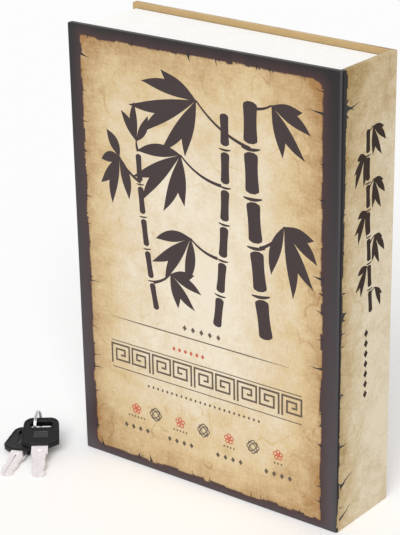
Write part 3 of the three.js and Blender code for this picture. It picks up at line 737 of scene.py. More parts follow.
@dataclass
class BookCase(SubAssembly):
    """The rigid case: three paper-wrapped boards that meet in folds along their outer corners."""

    finishes: Finishes = (
        # Dyed endpaper stock, uncoated: charcoal and quite matt, with a faint fibre grain.
        (Speckled("charcoal_uncoated_endpaper", "#2b2a2c", "#343336", grain=0.35, grain_depth=0.01,
                  cloud=12, roughness=0.82, roughness_spread=0.05),
         ("front_endpaper", "back_endpaper", "spine_lining")),
        # Grey bookbinding board, pressed from waste paper: matt, flecked, in layers along its thickness.
        (Speckled("grey_pressed_board", "#77746c", "#938f85", grain=0.8, grain_depth=0.03, cloud=6,
                  roughness=0.9, roughness_spread=0.04, stretch=(1, 1, 3)),
         ("front_board", "spine_board", "back_board")),
    )
    # The front's print has the dark surround on all four sides, the spine's at the front fold alone.
    # The back is plain, and browner towards its corners.
    front_print: Parchment = Parchment("front_parchment_print", Edging.ALL_ROUND)
    spine_print: Parchment = Parchment(
        "spine_parchment_print", Edging.HINGE_SIDE, frame_low=(1.0, 0), lean=0.0106, burn=0.2,
        fade_middle=(42, 84), fade_half=(40, 158), fade_gain=0.7, mottle=1.5, specular=0.25,
        pale="#dccfb4", tan="#c4ae86", brown="#9b7e4a", border="#0b0a0a", border_low="#1c1918",
        border_warm="#1c1713",
    )
    back_print: Parchment = Parchment("back_parchment_print", fade_half=(80, 118), fade_gain=0.62)
    # Turned-in edges of the same printed, film-covered paper: one even tone and a low gloss.
    dark_edge: Speckled = Speckled("dark_turn_in_paper", "#0e0d0d", "#151414", grain=0.5,
                                   grain_depth=0.008, cloud=20, roughness=0.45, specular=0.4)
    tan_edge: Speckled = Speckled("tan_turn_in_paper", "#b2935f", "#c4a676", grain=0.5,
                                  grain_depth=0.008, cloud=14)
    thickness: float = 3.3
    edge_round: float = 0.7
    corner_round: float = 0.8
    fold_round: float = 1.4
    mitre_setback: float = 0.1
    arc_steps: int = 6
    fold_steps: int = 25
    same_height_digits: int = 4
    fold_lap: float = 1.0
    fold_lift: float = 0.03
    fold_paper: float = 0.15
    fold_taper: Triple = (0, 0.1, 0.35)
    lap_steps: int = 5
    fold_levels: int = 60

    def slab(self, panel: Panel) -> Skin:
        """Outside of a wrapped board: a rounded profile carried from tail to head.

        Near an end the profile shrinks by the edge's rounding, and its fore edge falls back by the
        corner's. Round the profile, each corner is centre + radius x (sine, cosine) of an angle that turns
        with the column. A side at a fold is cut back to the mitre, where place along = depth.

        Args:
            panel: The panel that the board is in.

        Returns:
            The board's skin, on which the columns on its inside are marked.
        """
        turn = np.linspace(0, np.pi / 2, self.arc_steps)
        corner_rise = self.corner_round * (1 - np.cos(np.linspace(0, np.pi / 2, 2 * self.arc_steps)))
        edge_rise = self.edge_round * (1 - np.cos(turn))
        rise = np.unique(np.round(np.concatenate([corner_rise, edge_rise]), self.same_height_digits))
        heights = np.concatenate([rise, CASE_HEIGHT - rise[::-1]])[:, None]
        from_end = np.minimum(heights, CASE_HEIGHT - heights)
        inset = rounding(self.edge_round, from_end)
        back = self.thickness - inset

        fold_along = self.fold_round - (self.fold_round - inset) * np.sin(turn[::-1] / 2)
        fold_depth = self.fold_round - (self.fold_round - inset) * np.cos(turn[::-1] / 2)
        if panel.far_fold:
            along = [panel.width - fold_along[:, ::-1], panel.width - back - self.mitre_setback]
            depth = [fold_depth[:, ::-1], back]
        else:
            radius = self.edge_round - inset
            middle = panel.width - rounding(self.corner_round, from_end) - self.edge_round
            along = [middle + radius * np.sin(turn), middle + radius * np.cos(turn)]
            depth = [self.edge_round - radius * np.cos(turn),
                     self.thickness - self.edge_round + radius * np.sin(turn)]
        along = np.concatenate([fold_along, *along, back + self.mitre_setback], 1)
        depth = np.concatenate([fold_depth, *depth, back], 1)
        along = np.maximum(along, depth + self.mitre_setback)
        if panel.far_fold:
            along = np.minimum(along, panel.width - depth - self.mitre_setback)
        inner = np.roll(depth.mean(0), -1) > self.thickness / 2
        return Skin().grid(
            panel.place(along, heights, depth), wrap_columns=True, ends=True,
            places=np.stack(np.broadcast_arrays(along, heights), -1), marks=inner.astype(int),
        )

    def fold(self, name: str, near: Panel, far: Panel, finishes: list[Material]) -> None:
        """Builds the strip of cover paper that bends round a fold.

        Its section runs flat to the arc, round centre + radius x normal as the normal swings from one
        panel's to the other's, and flat again, and comes back a paper's thickness further in. Each half
        carries its own panel's print, read at the distance from the corner.

        Args:
            name: The piece's name.
            near: The panel that the strip starts on, whose fold is at its start.
            far: The panel that it ends on, which leads away from its own start or back from its end.
            finishes: The near panel's print and the far panel's.
        """
        far_start, far_sign = (0, 1) if near.corner == far.corner else (far.width, -1)
        run_near, run_far = towards(near.heading), far_sign * towards(far.heading)
        swing = (far.outward - near.outward + 180) % 360 - 180
        half_swing = np.radians(abs(swing)) / 2
        tangent = self.fold_round * np.tan(half_swing)
        centre = np.array(near.corner) + run_near * tangent - towards(near.outward) * self.fold_round
        normals = towards(near.outward + swing * np.linspace(0, 1, self.fold_steps))
        lap = np.linspace(self.fold_lap, 0, self.lap_steps)[:-1, None]
        outer, inner = (
            np.concatenate([
                centre + radius * normals[:1] + lap * run_near, centre + radius * normals,
                centre + radius * normals[-1:] + lap[::-1] * run_far,
            ]) for radius in (self.fold_round + self.fold_lift, self.fold_round - self.fold_paper)
        )
        middle = len(outer) // 2
        run = np.concatenate([[0], np.cumsum(np.linalg.norm(np.diff(outer, axis=0), axis=1))])
        from_corner = np.abs(run - run[middle]) + tangent - self.fold_round * half_swing

        taper = np.array(self.fold_taper)
        level = np.linspace(self.edge_round, CASE_HEIGHT - self.edge_round, self.fold_levels)
        heights = np.concatenate([taper, level, CASE_HEIGHT - taper[::-1]])[:, None]
        sink = rounding(self.edge_round, np.minimum(heights, CASE_HEIGHT - heights))
        skin = Skin()
        parts = (slice(None, middle + 1), slice(middle, None))
        places = (from_corner, far_start + far_sign * from_corner)
        for mark, (part, place) in enumerate(zip(parts, places)):
            section = np.concatenate([outer[part], inner[part][::-1]])
            along = np.concatenate([place[part], place[part][::-1]])
            pull = (centre - section) / np.linalg.norm(centre - section, axis=1, keepdims=True)
            points = section + sink[..., None] * pull
            points = np.stack(np.broadcast_arrays(points[..., 0], points[..., 1], heights), -1)
            flat = np.stack(np.broadcast_arrays(along, heights), -1)
            skin.grid(points, wrap_columns=True, ends=True, places=flat, marks=mark)
        made = skin.piece(name, finishes)
        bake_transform(made)

    def build(self) -> None:
        """Builds the three wrapped boards and the two folds, and gives the frame's pieces their finish."""
        finishes = (self.front_print, self.spine_print, self.back_print, self.dark_edge, self.tan_edge)
        front, spine, back, dark, tan = (finish.make() for finish in finishes)
        for name, panel, node, pair in (
            ("front_wrap", FRONT, "front_cover_paper", [front, dark]),
            ("spine_wrap", SPINE, "spine_paper", [spine, tan]),
            ("back_wrap", BACK, "back_cover_paper", [back, tan]),
        ):
            made = self.slab(panel).piece(name, pair)
            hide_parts(node)
            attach(made, panel.body)
        self.fold("front_fold", FRONT, SPINE, [front, spine])
        self.fold("back_fold", BACK, SPINE, [back, spine])
        super().build()


# Printed ink


@dataclass
class Ink:
    """Strokes of one ink on one panel, each a slab of ink a few hundredths of a millimetre thick.

    Points are given as x from the panel's left side, seen from outside, and height above the tail.
    """

    panel: Panel
    skin: Skin = field(default_factory=Skin)
    proud: float = 0.03
    layer: float = 0.004
    layers: int = 12
    root: float = 0.05
    fine_end: float = 0.12

    def stroke(self, line: np.ndarray, width: np.ndarray | float, closed: bool = False) -> None:
        """Adds a stroke: a line through points, with its own width at each.

        Each edge lies half the width off the line, along the sum of the two neighbouring normals over one
        plus their dot product, which keeps the width through a corner. Strokes that cross lie on
        different layers.

        Args:
            line: The points of its middle.
            width: Its width, or its width at each point.
            closed: Whether its end joins its start.
        """
        run = np.diff(line, axis=0, append=line[:1])
        if not closed:
            run[-1] = run[-2]
        run /= np.linalg.norm(run, axis=1, keepdims=True)
        after = np.stack([-run[:, 1], run[:, 0]], -1)
        before = np.roll(after, 1, 0)
        if not closed:
            before[0] = after[0]
        aside = (before + after) / (1 + (before * after).sum(1, keepdims=True))
        half = np.broadcast_to(width, len(line))[:, None] / 2 * aside
        edges = np.stack([line + half, line + half, line - half, line - half], 1)
        top = -(self.proud + self.layer * (len(self.skin.points) % self.layers))
        along = self.panel.width - edges[..., 0] if self.panel.drawn_from_far else edges[..., 0]
        points = self.panel.place(along, edges[..., 1], np.array([self.root, top, top, self.root]))
        self.skin.grid(points, wrap_rows=closed, wrap_columns=True, ends=not closed)

    def brush(
        self, root: Pair, heading: float, length: float, width: float, bow: float, swell: np.ndarray,
    ) -> None:
        """Adds a bowed stroke from a root: the bow is a share of its length, the swell of its width."""
        line = bent_line(root, np.array(root) + length * towards(heading), bow * length, len(swell))
        self.stroke(line, self.fine_end + (width - self.fine_end) * swell)


class Motif(Protocol):
    """Anything that is drawn in ink."""

    def draw(self, ink: Ink) -> None:
        """Adds its strokes to an ink."""


@dataclass(frozen=True)
class Stalk:
    """A painted bamboo stalk: waisted lengths with rounded ends, and an upturned stroke at each joint."""

    foot: Pair
    head: Pair
    bow: float
    width: float
    joints: int
    steps: int = 24
    gap: int = 2
    waist: float = 0.16
    end_power: float = 14
    end_share: float = 0.12
    ring_reach: float = 0.62
    ring_bow: float = 0.09
    ring_swell: float = 0.12
    ring_line: float = 0.06
    ring_steps: int = 14

    def draw(self, ink: Ink) -> None:
        """Adds the stalk.

        With t from -1 to 1 along a length its width is (1 - waist (1 - t^2)) x sqrt(1 - |t|^power), and
        along a joint's stroke it is swell x (1 - t^2) plus that of its line.

        Args:
            ink: The ink that takes it.
        """
        whole = bent_line(self.foot, self.head, self.bow, self.steps * self.joints + 1)
        for start in range(0, self.steps * self.joints, self.steps):
            part = whole[start + self.gap:start + self.steps - self.gap + 1]
            t = np.linspace(-1, 1, len(part))
            ends = np.sqrt(np.clip(1 - np.abs(t) ** self.end_power, self.end_share, 1))
            ink.stroke(part, self.width * (1 - self.waist * (1 - t ** 2)) * ends)
        t = np.linspace(-1, 1, self.ring_steps)
        ring = ink.fine_end + self.width * (self.ring_swell * (1 - t ** 2) + self.ring_line)
        for at in range(self.steps, self.steps * self.joints, self.steps):
            run = whole[at + 1] - whole[at - 1]
            across = np.array([run[1], -run[0]]) / np.linalg.norm(run) * self.width * self.ring_reach
            bow = -self.width * self.ring_bow
            ink.stroke(bent_line(whole[at] - across, whole[at] + across, bow, self.ring_steps), ring)


@dataclass(frozen=True)
class Spray:
    """A twig with leaves that fan from its tip: each leaf has a heading and a length."""

    root: Pair
    tip: Pair
    bow: float
    leaf_width: float
    leaves: tuple[Pair, ...]
    leaf_bow: float = 0.05
    leaf_steps: int = 22
    leaf_powers: Pair = (1.1, 1.15)
    twig_width: float = 1.7
    twig_steps: int = 14

    def draw(self, ink: Ink) -> None:
        """Adds the spray.

        A leaf's width goes as t^1.1 (1-t)^1.15, scaled to its widest: it starts thin, swells and tapers.

        Args:
            ink: The ink that takes it.
        """
        twig = bent_line(self.root, self.tip, self.bow, self.twig_steps)
        ink.stroke(twig, np.linspace(self.twig_width, self.twig_width / 2, self.twig_steps))
        t = np.linspace(0, 1, self.leaf_steps)
        swell = t ** self.leaf_powers[0] * (1 - t) ** self.leaf_powers[1]
        for number, (heading, length) in enumerate(self.leaves):
            bow = self.leaf_bow if number % 2 else -self.leaf_bow
            ink.brush(self.tip, heading, length, self.leaf_width, bow, swell / swell.max())


@dataclass(frozen=True)
class SmallSpray(Spray):
    """A finer spray, for the narrow spine."""

    leaf_bow: float = 0.06
    twig_width: float = 0.9
    twig_steps: int = 10


@dataclass(frozen=True)
class Row:
    """An even row of small solid lozenges about a middle, one step apart."""

    middle: Pair
    step: Pair
    count: int
    size: float
    tall: float = 1.3
    steps: int = 7

    def draw(self, ink: Ink) -> None:
        """Adds the row: each lozenge is an upright stroke as wide as size x (1 - |t|), t from -1 to 1.

        Args:
            ink: The ink that takes it.
        """
        t = np.linspace(-1, 1, self.steps)
        upright = np.stack([np.zeros(self.steps), self.size * self.tall * t / 2], -1)
        for number in range(self.count):
            shift = (number - (self.count - 1) / 2) * np.array(self.step)
            ink.stroke(upright + self.middle + shift, ink.fine_end + self.size * (1 - np.abs(t)))


@dataclass(frozen=True)
class Rule:
    """A thin rule that tapers at both ends."""

    left: float = 20
    right: float = 131
    height: float = 82.7
    width: float = 0.5
    taper: float = 2.5
    steps: int = 21

    def draw(self, ink: Ink) -> None:
        """Adds the rule, as wide as taper x (1 - |t|) and at most its width, t from -1 to 1.

        Args:
            ink: The ink that takes it.
        """
        line = bent_line((self.left, self.height), (self.right, self.height), 0, self.steps)
        t = np.linspace(-1, 1, self.steps)
        ink.stroke(line, ink.fine_end + self.width * np.clip(self.taper * (1 - np.abs(t)), 0, 1))


@dataclass(frozen=True)
class Fret:
    """A fret band: squared spirals, every second one mirrored, between two rules."""

    left: float = 20.5
    low: float = 56
    size: float = 11.2
    pitch: float = 13.3
    count: int = 9
    line: float = 1.05
    rule: float = 0.45
    margin: float = 2.0
    turns: tuple[Pair, ...] = (
        (0, 0), (0, 1), (1, 1), (1, 0.22), (0.25, 0.22), (0.25, 0.76), (0.74, 0.76), (0.74, 0.48),
        (0.5, 0.48),
    )

    def draw(self, ink: Ink) -> None:
        """Adds the band.

        Args:
            ink: The ink that takes it.
        """
        for number in range(self.count):
            shares = np.array(self.turns)
            if number % 2:
                shares[:, 0] = 1 - shares[:, 0]
            ink.stroke(shares * self.size + (self.left + self.pitch * number, self.low), self.line)
        right = self.left + self.pitch * (self.count - 1) + self.size
        for height in (self.low - self.margin, self.low + self.size + self.margin):
            ink.stroke(np.array([(self.left, height), (right, height)]), self.rule)


@dataclass(frozen=True)
class Knot:
    """A traditional four-looped knot: two crossed ovals and a ring round them, in shares of its size."""

    middle: Pair
    size: float = 7.4
    line: float = 0.55
    oval: Pair = (0.46, 0.2)
    ring: Pair = (0.43, 0.07)
    steps: int = 40

    def draw(self, ink: Ink) -> None:
        """Adds the knot.

        An oval is (a cos w, b sin w) turned by 45 degrees, and the ring's radius is c + d cos 4w.

        Args:
            ink: The ink that takes it.
        """
        angle = np.linspace(0, 360, self.steps, endpoint=False)
        oval = self.size * towards(angle) * self.oval
        for turn in (45, -45):
            turned = oval @ np.stack([towards(turn), towards(turn + 90)])
            ink.stroke(turned + self.middle, self.line, closed=True)
        reach = self.size * (self.ring[0] + self.ring[1] * np.cos(np.radians(4 * angle)))
        ink.stroke(reach[:, None] * towards(angle) + self.middle, self.line, closed=True)


@dataclass(frozen=True)
class Blossom:
    """A plain plum blossom: a ring for each petal round a solid middle, in shares of its size."""

    middle: Pair
    size: float = 6.0
    petals: int = 5
    petal_radius: float = 0.16
    petal_reach: float = 0.31
    petal_line: float = 0.085
    petal_steps: int = 18
    heart_radius: float = 0.09
    heart_steps: int = 16

    def draw(self, ink: Ink) -> None:
        """Adds the blossom. Its heart is an upright stroke as wide at each point as a circle is there.

        Args:
            ink: The ink that takes it.
        """
        angle = np.linspace(0, 360, self.petal_steps, endpoint=False)
        for number in range(self.petals):
            reach = self.petal_reach * towards(90 + 360 / self.petals * number)
            ring = self.size * (self.petal_radius * towards(angle) + reach)
            ink.stroke(ring + self.middle, self.petal_line * self.size, closed=True)
        half_circle = self.heart_radius * self.size * towards(np.linspace(0, 180, self.heart_steps))
        line = np.stack([np.zeros(self.heart_steps), -half_circle[:, 0]], -1) + self.middle
        ink.stroke(line, np.maximum(2 * half_circle[:, 1], ink.fine_end))


@dataclass(frozen=True)
class Tear:
    """A crack: widest at its root, its width falling as (1-t)^1.4 along its length."""

    root: Pair
    heading: float
    length: float
    width: float
    bow: float
    power: float = 1.4
    steps: int = 12

    def draw(self, ink: Ink) -> None:
        """Adds the crack to an ink."""
        swell = (1 - np.linspace(0, 1, self.steps)) ** self.power
        ink.brush(self.root, self.heading, self.length, self.width, self.bow, swell)


@dataclass(frozen=True)
class TornSide:
    """One side of the dark surround, and how often and how far cracks run in from it."""

    start: Pair
    end: Pair
    inward: float
    spacing: float
    longest: float
    widest: float
    shortest: float = 1.2
    narrowest: float = 0.6
    overlap: float = 1.2
    spread: float = 22
    bow: float = 0.07

    def tears(self, draw: np.random.Generator) -> list[Tear]:
        """Draws cracks at uneven steps along the side.

        Lengths and widths go as the square of a chance value, so that most are small.

        Args:
            draw: The source of chance.

        Returns:
            The cracks.
        """
        first, last = np.array(self.start), np.array(self.end)
        number = int(np.linalg.norm(last - first) / self.spacing)
        shares = (np.arange(number) + draw.uniform(0, 1, number)) / number
        lengths = self.shortest + draw.uniform(0, 1, number) ** 2 * (self.longest - self.shortest)
        widths = self.narrowest + draw.uniform(0, 1, number) ** 2 * (self.widest - self.narrowest)
        turns = self.inward + draw.uniform(-self.spread, self.spread, number)
        bows = draw.uniform(-self.bow, self.bow, number)
        roots = first + shares[:, None] * (last - first) - self.overlap * towards(self.inward)
        return [Tear(*values) for values in zip(roots, turns, lengths + self.overlap, widths, bows)]


EMBLEM_HEIGHT = 33
BLOSSOMS_ALONG = (35.3, 63.8, 94.6, 124.4)


@dataclass
class CasePrint:
    """What is printed over the parchment: bamboo, a fret band, rows of marks, emblems and cracks."""

    # Inks under the film, from near black to brown, and the orange red of a seal.
    dark_ink: OffsetInk = OffsetInk("dark_offset_ink", "#2f2021", "#3a2929", cloud=14, specular=0.42)
    brown_ink: OffsetInk = OffsetInk("brown_offset_ink", "#4e4036", "#62523f", cloud=12)
    red_ink: OffsetInk = OffsetInk("red_offset_ink", "#b8452f", "#c65a42", cloud=12)
    spine_ink: OffsetInk = OffsetInk("dark_spine_offset_ink", "#27160b", "#301f13", specular=0.1)
    burnt_ink: OffsetInk = OffsetInk("burnt_crack_offset_ink", "#201517", "#2c2020", specular=0.42)
    black_ink: OffsetInk = OffsetInk("black_crack_offset_ink", "#0f0d0d", "#1a1716", specular=0.3)

    bamboo: tuple[Motif, ...] = (
        Stalk((118, 92), (109, 215), 2.5, 8.6, 5),
        Stalk((88, 92), (94, 206), -2.5, 5.4, 6),
        Stalk((51, 92), (42, 176), 1.8, 3.8, 5),
        Spray((109, 190), (78, 208), 3, 7.0,
              ((172, 33), (192, 42), (213, 40), (233, 37), (256, 30), (150, 24))),
        Spray((92, 168), (68, 179), 2.5, 6.6, ((186, 27), (209, 34), (229, 38), (250, 33), (274, 26))),
        Spray((43, 160), (30, 171), 1.5, 5.6, ((196, 12), (232, 20), (258, 26), (284, 22), (120, 15))),
        Spray((114, 141), (128, 155), -2, 6.4, ((-12, 17), (-40, 24), (-60, 33), (-82, 36), (-106, 27))),
        Spray((89, 130), (73, 137), 1.5, 6.0, ((192, 22), (216, 30), (238, 31), (262, 26))),
        Spray((110, 210), (121, 213), -1, 6.0, ((-2, 17), (-27, 24), (-52, 30), (-76, 25))),
        Spray((49, 108), (60, 115), -1, 5.2, ((10, 15), (-20, 20), (-48, 22), (-76, 18))),
        Spray((42, 176), (41, 181), 0.3, 4.6, ((62, 16), (92, 20), (122, 17))),
    )
    spine_bamboo: tuple[Motif, ...] = (
        Stalk((26, 109), (21, 204), 1.0, 3.4, 7),
        SmallSpray((21.5, 201), (25, 203.5), 0.3, 3.6, ((-12, 9), (-40, 14), (-64, 17), (-90, 14))),
        SmallSpray((22, 188), (18.5, 191), 0.3, 3.4, ((192, 6), (222, 11), (244, 16), (268, 15))),
        SmallSpray((23, 174), (26.5, 177.5), 0.3, 3.6, ((-16, 8), (-44, 13), (-68, 17), (-94, 14))),
        SmallSpray((24, 160), (20.5, 163), 0.3, 3.4, ((196, 7), (226, 13), (248, 16), (272, 13))),
        SmallSpray((24.5, 146), (28, 149), 0.3, 3.6, ((-22, 7), (-50, 13), (-74, 16), (-98, 13))),
        SmallSpray((25.5, 132), (22, 135), 0.3, 3.4, ((200, 8), (230, 14), (252, 15))),
        SmallSpray((26, 120), (29, 122), 0.3, 3.0, ((-38, 8), (-66, 12))),
        Row((22.5, 83.8), (0, -5.4), 7, 3.2),
    )
    bands: tuple[Motif, ...] = (
        Rule(), Fret(), Row((78.5, 87.6), (5.2, 0), 5, 2.4), Row((78.5, 48.4), (3.0, 0), 24, 1.35),
    )
    knots: tuple[Motif, ...] = tuple(Knot((x, EMBLEM_HEIGHT)) for x in (48.0, 78.7, 109.3))
    captions: tuple[Motif, ...] = tuple(
        row for shorter, x in enumerate(BLOSSOMS_ALONG)
        for row in (Row((x, 28.2), (2.0, 0), 6 - shorter, 1.0), Row((x, 21.8), (4.7, 0), 4, 2.3))
    )
    red_row: Row = Row((70, 74.4), (3.6, 0), 6, 1.9)
    blossoms: tuple[Motif, ...] = tuple(Blossom((x, EMBLEM_HEIGHT)) for x in BLOSSOMS_ALONG)

    front_sides: tuple[TornSide, ...] = (
        TornSide((8.5, 5.4), (8.5, 229.4), 0, 15, 5.5, 2.0),
        TornSide((149, 5.4), (149, 229.4), 180, 14, 8.0, 2.2),
        TornSide((8.5, 229.4), (149, 229.4), 270, 17, 3.4, 2.4),
        TornSide((8.5, 5.4), (149, 5.4), 90, 16, 3.8, 2.6),
    )
    spine_side: TornSide = TornSide((3.2, 5.4), (3.2, 200), 0, 22, 5.0, 2.4)
    spine_tears: tuple[Tear, ...] = (
        Tear((2.2, 216.8), 2, 4.6, 6.5, 0.03), Tear((2.2, 219.6), 24, 3.6, 3.2, 0.05),
        Tear((2.2, 214.0), -30, 3.8, 2.8, 0.04), Tear((4.8, 216.7), 10, 8.2, 1.4, -0.06),
        Tear((6.4, 216.6), -26, 3.4, 1.1, 0.05), Tear((2.2, 116), 16, 3.8, 3.6, 0.03),
        Tear((2.2, 114.2), -28, 3.0, 1.8, 0.04), Tear((2.2, 25), 4, 4.4, 3.8, 0.02),
        Tear((4.2, 25.4), 24, 9.4, 1.3, 0.05), Tear((2.2, 6.6), 30, 10.5, 1.6, -0.04),
    )

    def build(self) -> None:
        """Draws each ink's motifs and makes them one piece."""
        draw = np.random.default_rng(SEED)
        cracks = [tear for side in self.front_sides for tear in side.tears(draw)]
        spine_cracks = [*self.spine_side.tears(draw), *self.spine_tears]
        for name, panel, finish, motifs in (
            ("front_bamboo_print", FRONT, self.dark_ink, self.bamboo),
            ("front_fine_print", FRONT, self.brown_ink, (*self.bands, *self.knots, *self.captions)),
            ("front_red_print", FRONT, self.red_ink, (self.red_row, *self.blossoms)),
            ("spine_bamboo_print", SPINE, self.spine_ink, self.spine_bamboo),
            ("front_cracks", FRONT, self.burnt_ink, cracks),
            ("spine_cracks", SPINE, self.black_ink, spine_cracks),
        ):
            ink = Ink(panel)
            for motif in motifs:
                motif.draw(ink)
            made = ink.skin.piece(name, [finish.make()])
            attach(made, panel.body)


# Page block, strongbox and lock


@dataclass
class PageBlock(SubAssembly):
    """The moulded white block that stands for the pages."""

    finishes: Finishes = (
        # White polystyrene, injection moulded: a clean matt white with a fine haze along the leaves.
        (Speckled("white_moulded_polystyrene", "#faf9f6", "#fefdfb", grain=0.4, grain_depth=0.001,
                  cloud=18, roughness=0.62, roughness_spread=0.04, stretch=(1, 3, 1)),
         ("page_block",)),
    )


@dataclass
class Strongbox(SubAssembly):
    """The steel tray, its lid, their piano hinge and the screws that hold the tray."""

    finishes: Finishes = (
        # Black powder coat, sprayed and baked: half matt, its gloss broken up by orange peel.
        (Speckled("black_powder_coat", "#1b1c1e", "#222427", grain=0.7, grain_depth=0.025, cloud=40,
                  roughness=0.46, roughness_spread=0.1),
         ("strongbox_tray", "strongbox_lid")),
        # Bright zinc, electroplated on rolled steel: a cool sheen drawn out along the hinge.
        (Metal("bright_zinc_plate", "#b9bcbf", "#d0d2d2", grain=0.4, cloud=5, roughness=0.3,
               stretch=(1, 1, 0.15)),
         ("tray_hinge_leaf", "lid_hinge_leaf", "hinge_pin", "tray_screw_1", "tray_screw_2",
          "tray_screw_3", "tray_screw_4")),
    )


@dataclass
class CamLock(SubAssembly):
    """The cam lock in the lid."""

    finishes: Finishes = (
        # Chrome, plated on a polished casting: mirror bright, with the least drift in tone.
        (Metal("polished_chrome_plate", "#c9cbce", "#dadcde", grain=0.3, grain_depth=0.002, cloud=4,
               roughness=0.14, roughness_spread=0.05),
         ("lock_body",)),
        # Nickel on a tumbled zinc casting: a warm grey satin.
        (Metal("satin_nickel_zinc_casting", "#a9a9a6", "#c2c2be", grain=0.25, cloud=3, roughness=0.33),
         ("lock_plug",)),
        # Brass strip, stamped: yellow, half bright, dulled in small patches.
        (Metal("stamped_brass", "#b08d4c", "#c7a561", grain=0.3, cloud=2, roughness=0.3),
         tuple(f"lock_wafer_{number}" for number in range(1, 6))),
        # Zinc, barrel plated on stamped steel: blue grey, half bright, with the sheet's rolling lines.
        (Metal("zinc_plated_steel", "#a7abb0", "#c3c7c9", grain=0.5, grain_depth=0.005, cloud=4,
               roughness=0.34, stretch=(1, 1, 0.2)),
         ("lock_washer", "lock_nut", "lock_cam", "cam_washer", "cam_screw")),
    )


# Keys


def rounded_outline(corners: tuple[Triple, ...], steps: int) -> np.ndarray:
    """Outline of a convex polygon whose corners are arcs.

    Each corner's arc is centre + radius x normal as the normal swings from one side's to the next. Its
    centre is inward from the corner by radius / cosine of half the swing.

    Args:
        corners: The x, y and radius of each corner, anticlockwise.
        steps: Points on each arc.

    Returns:
        The outline's points.
    """
    spot, radius = np.split(np.array(corners), [2], axis=1)
    side = np.roll(spot, -1, 0) - spot
    last = np.degrees(np.arctan2(side[:, 1], side[:, 0]))[:, None] - 90
    first = np.roll(last, 1)
    swing = (last - first) % 360
    centre = spot - towards((first + swing / 2)[:, 0]) * radius / np.cos(np.radians(swing / 2))
    normals = towards(first + swing * np.linspace(0, 1, steps))
    return (centre[:, None] + radius[:, None] * normals).reshape(-1, 2)


def reach(outline: np.ndarray, bearing: np.ndarray) -> np.ndarray:
    """How far a convex outline lies from the origin inside it on each bearing.

    A ray leaves through the nearest of the sides that it runs out of, each of which is
    (a point of the side x its normal) / (the ray's direction x the normal) away.

    Args:
        outline: The outline's points, anticlockwise.
        bearing: The bearings.

    Returns:
        The distances, as a column.
    """
    parallel = 1e-9
    side = np.roll(outline, -1, 0) - outline
    normal = np.stack([side[:, 1], -side[:, 0]], -1)
    facing = towards(bearing) @ normal.T
    away = (outline * normal).sum(1) / np.where(facing > parallel, facing, np.nan)
    return np.nanmin(away, 1)[:, None]


@dataclass(frozen=True)
class Place:
    """Where something drawn about the origin lies: it tilts about X, turns about Z and moves."""

    x: float
    y: float
    z: float
    turn: float
    tilt: float = 0

    def put(self, drawn: np.ndarray) -> np.ndarray:
        """Puts points into the frame."""
        turned = Euler(np.radians((self.tilt, 0, self.turn))).to_matrix()
        return drawn @ np.array(turned).T + (self.x, self.y, self.z)


@dataclass
class KeyHead:
    """A key's moulded head, drawn flat about its slot: rims round a sunk face, and a sunk label."""

    shell: tuple[Triple, ...] = (
        (9.3, 5.6, 5), (-9.3, 5.6, 5), (-10.2, -12.7, 1.2), (-4.8, -15.6, 1.2), (4.8, -15.6, 1.2),
        (10.2, -12.7, 1.2),
    )
    shell_steps: int = 24
    slot: Pair = (12.4, 4.4)
    slot_flat: float = 0.1
    slot_steps: int = 16
    half_thickness: float = 1.4
    rim_height: float = 0.3
    rim_width: float = 1.1
    rim_round: float = 0.25
    rim_bevel: float = 0.1
    rim_foot: float = 0.22
    round_share: float = 0.3
    label: Pair = (7.6, 4.6)
    label_drop: float = 7.4
    label_depth: float = 0.45
    label_slope: float = 0.3
    around: int = 240
    across: int = 40

    def surface(self) -> np.ndarray:
        """Surface of the head.

        On each bearing the section goes up the slot's wall, over the slot's rim, across the sunk face,
        over the edge's rim, down the outer wall and back below. Inside the label the face sinks by the
        label's depth.

        Returns:
            A grid of points, closed both ways.
        """
        bearing = np.linspace(0, 360, self.around, endpoint=False)
        half_w, half_h = self.slot[0] / 2, self.slot[1] / 2
        quarters = ((1, 1), (-1, 1), (-1, -1), (1, -1))
        hole = tuple((x * half_w, y * half_h, half_h - self.slot_flat) for x, y in quarters)
        inner = reach(rounded_outline(hole, self.slot_steps), bearing)
        outer = reach(rounded_outline(self.shell, self.shell_steps), bearing)
        full, part = self.half_thickness + self.rim_height, self.round_share * self.rim_round
        foot = self.rim_width + self.rim_foot
        rim = np.array([[0, part, self.rim_round, self.rim_width - self.rim_bevel, foot]])
        rim_level = np.array([[full - self.rim_round, full - part, full, full, self.half_thickness]])
        share = np.linspace(0, 1, self.across)[None, 1:-1]
        start, stop = inner + foot, outer - foot
        radius = np.concatenate([inner + rim, start + share * (stop - start), outer - rim[:, ::-1]], 1)
        face = np.full_like(share, self.half_thickness)
        level = np.concatenate([rim_level, face, rim_level[:, ::-1]], 1)
        x, y = np.moveaxis(radius[..., None] * towards(bearing)[:, None], -1, 0)
        off = np.maximum(np.abs(x) - self.label[0] / 2, np.abs(y + self.label_drop) - self.label[1] / 2)
        top = level - self.label_depth * np.clip(0.5 - off / self.label_slope, 0, 1)
        return np.concatenate([np.stack([x, y, top], -1), np.stack([x, y, -top], -1)[:, ::-1]], 1)


